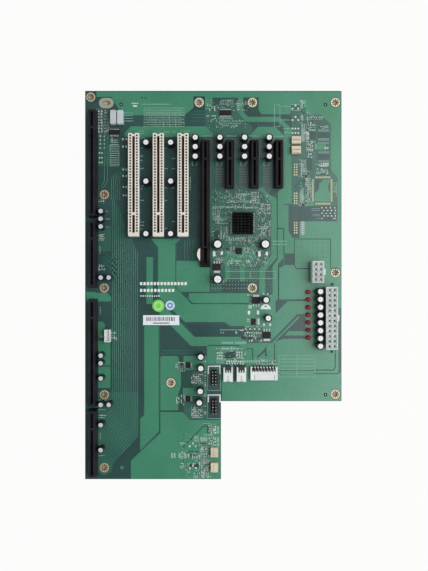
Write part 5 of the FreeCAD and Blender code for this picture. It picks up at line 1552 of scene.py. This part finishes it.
# underside: one ground pour inside the board's edge and a soldered tail under every lead
underside = dict(inset=1.5, width=214.6, length=325, legWidth=113.7, legFrom=259.7, rise=0.02)
tails = dict(
    reach=1.0, wire=0.25, cone=0.7, coneDepth=0.6, coneBend=(0.6, 0.25), sides=8, bite=0.02, canHalf=1.2,
    lampHalf=1.27, springAt=1.2, stagger=1.3, springSize=(0.55, 0.55, 0.9),
)


def buildUnderside():
    inset = underside["inset"]
    right, foot = underside["width"] - inset, underside["length"] - inset
    leg, arm = underside["legWidth"] - inset, underside["legFrom"] - inset
    corners = [(inset, inset), (right, inset), (right, arm), (leg, arm), (leg, foot), (inset, foot)]
    outline = [at(*corner) for corner in corners]
    mesh = partMesh(addPierced, [outline] + holesInside(outline), boardUnder - underside["rise"], boardUnder)
    settle("underside_pour", mesh, pourMask, "green_board")


def buildTails():
    cone, wire, reach = tails["cone"], tails["wire"], tails["reach"]
    share, depth = tails["coneBend"]
    profile = [(0, -reach), (wire, -reach), (wire, -tails["coneDepth"]), (cone * share, -depth), (cone, 0.0),
               (0, 0.0)]
    low = boardUnder - tails["bite"]
    sides = (-1, 1)
    places = [(x + side * tails["canHalf"], y, low, 0.0) for x, y, z, turn in canPlaces for side in sides]
    places += [(x, y + side * tails["lampHalf"], low, 0.0) for x, y, z, turn in lampPlaces for side in sides]
    for i, (x, y, z, turn) in enumerate(springPlaces):
        side = 1 if turn == 0 else -1
        offset = tails["springAt"] + tails["stagger"] * (i // 2 % 2)
        places.append((x + side * offset, y, low, 0.0, tails["springSize"]))
    tail = partMesh(addLathe, profile, tails["sides"])
    scatter("solder_tails", tail, places, solderMetal, "tinned_pin")


buildUnderside()
buildTails()
print("underside ready")

# floor, light and camera: the floor glows white to the eye, apart from the shaded ground under the board
stage = dict(
    floorSize=24.0, floorDrop=0.05, floorWhite=0.95, horizon=0.95, zenith=0.2, skyFrom=0.1, skyTo=0.6,
    ground=dict(halfX=0.1045, halfY=0.16, notchX=0.004, notchY=-0.0955),
    key=dict(power=10.0, size=0.9, place=(0.57, -0.03, 0.92)),
    fill=dict(power=1.8, size=1.2, place=(-0.9, 0.5, 1.2)),
)


def floorFinish():
    made = Finish("paleFloor")
    pale = made.mix(made.noise(3.0), colour("#c4b09b"), colour("#cebba7"))
    made.paint(Base_Color=pale, Roughness=0.9, Specular_IOR_Level=0.0)
    path = addNode(made.tree, "ShaderNodeLightPath")
    rays = ("Is Camera Ray", "Is Glossy Ray", "Is Transmission Ray")
    seen = [Wire(made, path.outputs[key]) for key in rays]
    glow = made.node("ShaderNodeEmission", {}, {"Strength": 1.0})
    ground = stage["ground"]
    x, y = made.axis(made.place, "X"), made.axis(made.place, "Y")
    away = (abs(x) > ground["halfX"]) + (abs(y) > ground["halfY"])
    away = away + (x > ground["notchX"]) * (y < ground["notchY"])
    share = (seen[0] + seen[1] + seen[2]) * stage["floorWhite"] * made.spread(away, 0.0, 1.0)
    blend = made.node("ShaderNodeMixShader", {}, {0: share, 1: made.shader.outputs[0], 2: glow})
    feed(made.tree, made.tree.nodes["Material Output"].inputs["Surface"], blend)
    return made.material


def buildFloor():
    half, low = stage["floorSize"] / 2, -stage["floorDrop"] * mm
    mesh = bpy.data.meshes.new("floor")
    mesh.from_pydata([(x, y, low) for x, y in patch(-half, -half, half, half)], [], [(0, 1, 2, 3)])
    mesh.materials.append(floorFinish())
    floor = addObject("floor", mesh)


def buildWorld():
    world = bpy.data.worlds.new("studio")
    world.use_nodes = True
    tree = world.node_tree
    place = addNode(tree, "ShaderNodeTexCoord")
    height = addNode(tree, "ShaderNodeSeparateXYZ", {}, {0: place.outputs["Generated"]})
    values = {"Value": height.outputs["Z"], "From Min": stage["skyFrom"], "From Max": stage["skyTo"],
              "To Min": stage["horizon"], "To Max": stage["zenith"]}
    level = addNode(tree, "ShaderNodeMapRange", {}, values)
    feed(tree, tree.nodes["Background"].inputs["Strength"], level.outputs[0])
    feed(tree, tree.nodes["Background"].inputs["Color"], (1.0, 1.0, 1.0, 1.0))
    bpy.context.scene.world = world


def addSoftbox(name, power, size, place):
    light = bpy.data.lights.new(name, "AREA")
    light.energy = power
    light.size = size
    holder = addObject(name, light)
    holder.location = place
    holder.rotation_euler = (-Vector(place)).to_track_quat("-Z", "Y").to_euler()


def buildCamera():
    lens = bpy.data.cameras.new("photoCamera")
    lens.sensor_width = 36.0
    lens.lens = lens.sensor_width * photo["cameraRise"] / (photo["height"] * photo["mmPerPixel"])
    lens.clip_start = 0.01
    lens.clip_end = 100.0
    camera = addObject("photoCamera", lens)
    camera.location = Vector((*photo["middle"], boardTop + photo["cameraRise"])) * mm
    bpy.context.scene.camera = camera


buildFloor()
buildWorld()
addSoftbox("keySoftbox", **stage["key"])
addSoftbox("fillSoftbox", **stage["fill"])
buildCamera()
bpy.context.scene.view_settings.view_transform = "Standard"
print("stage ready")

bpy.context.view_layer.update()
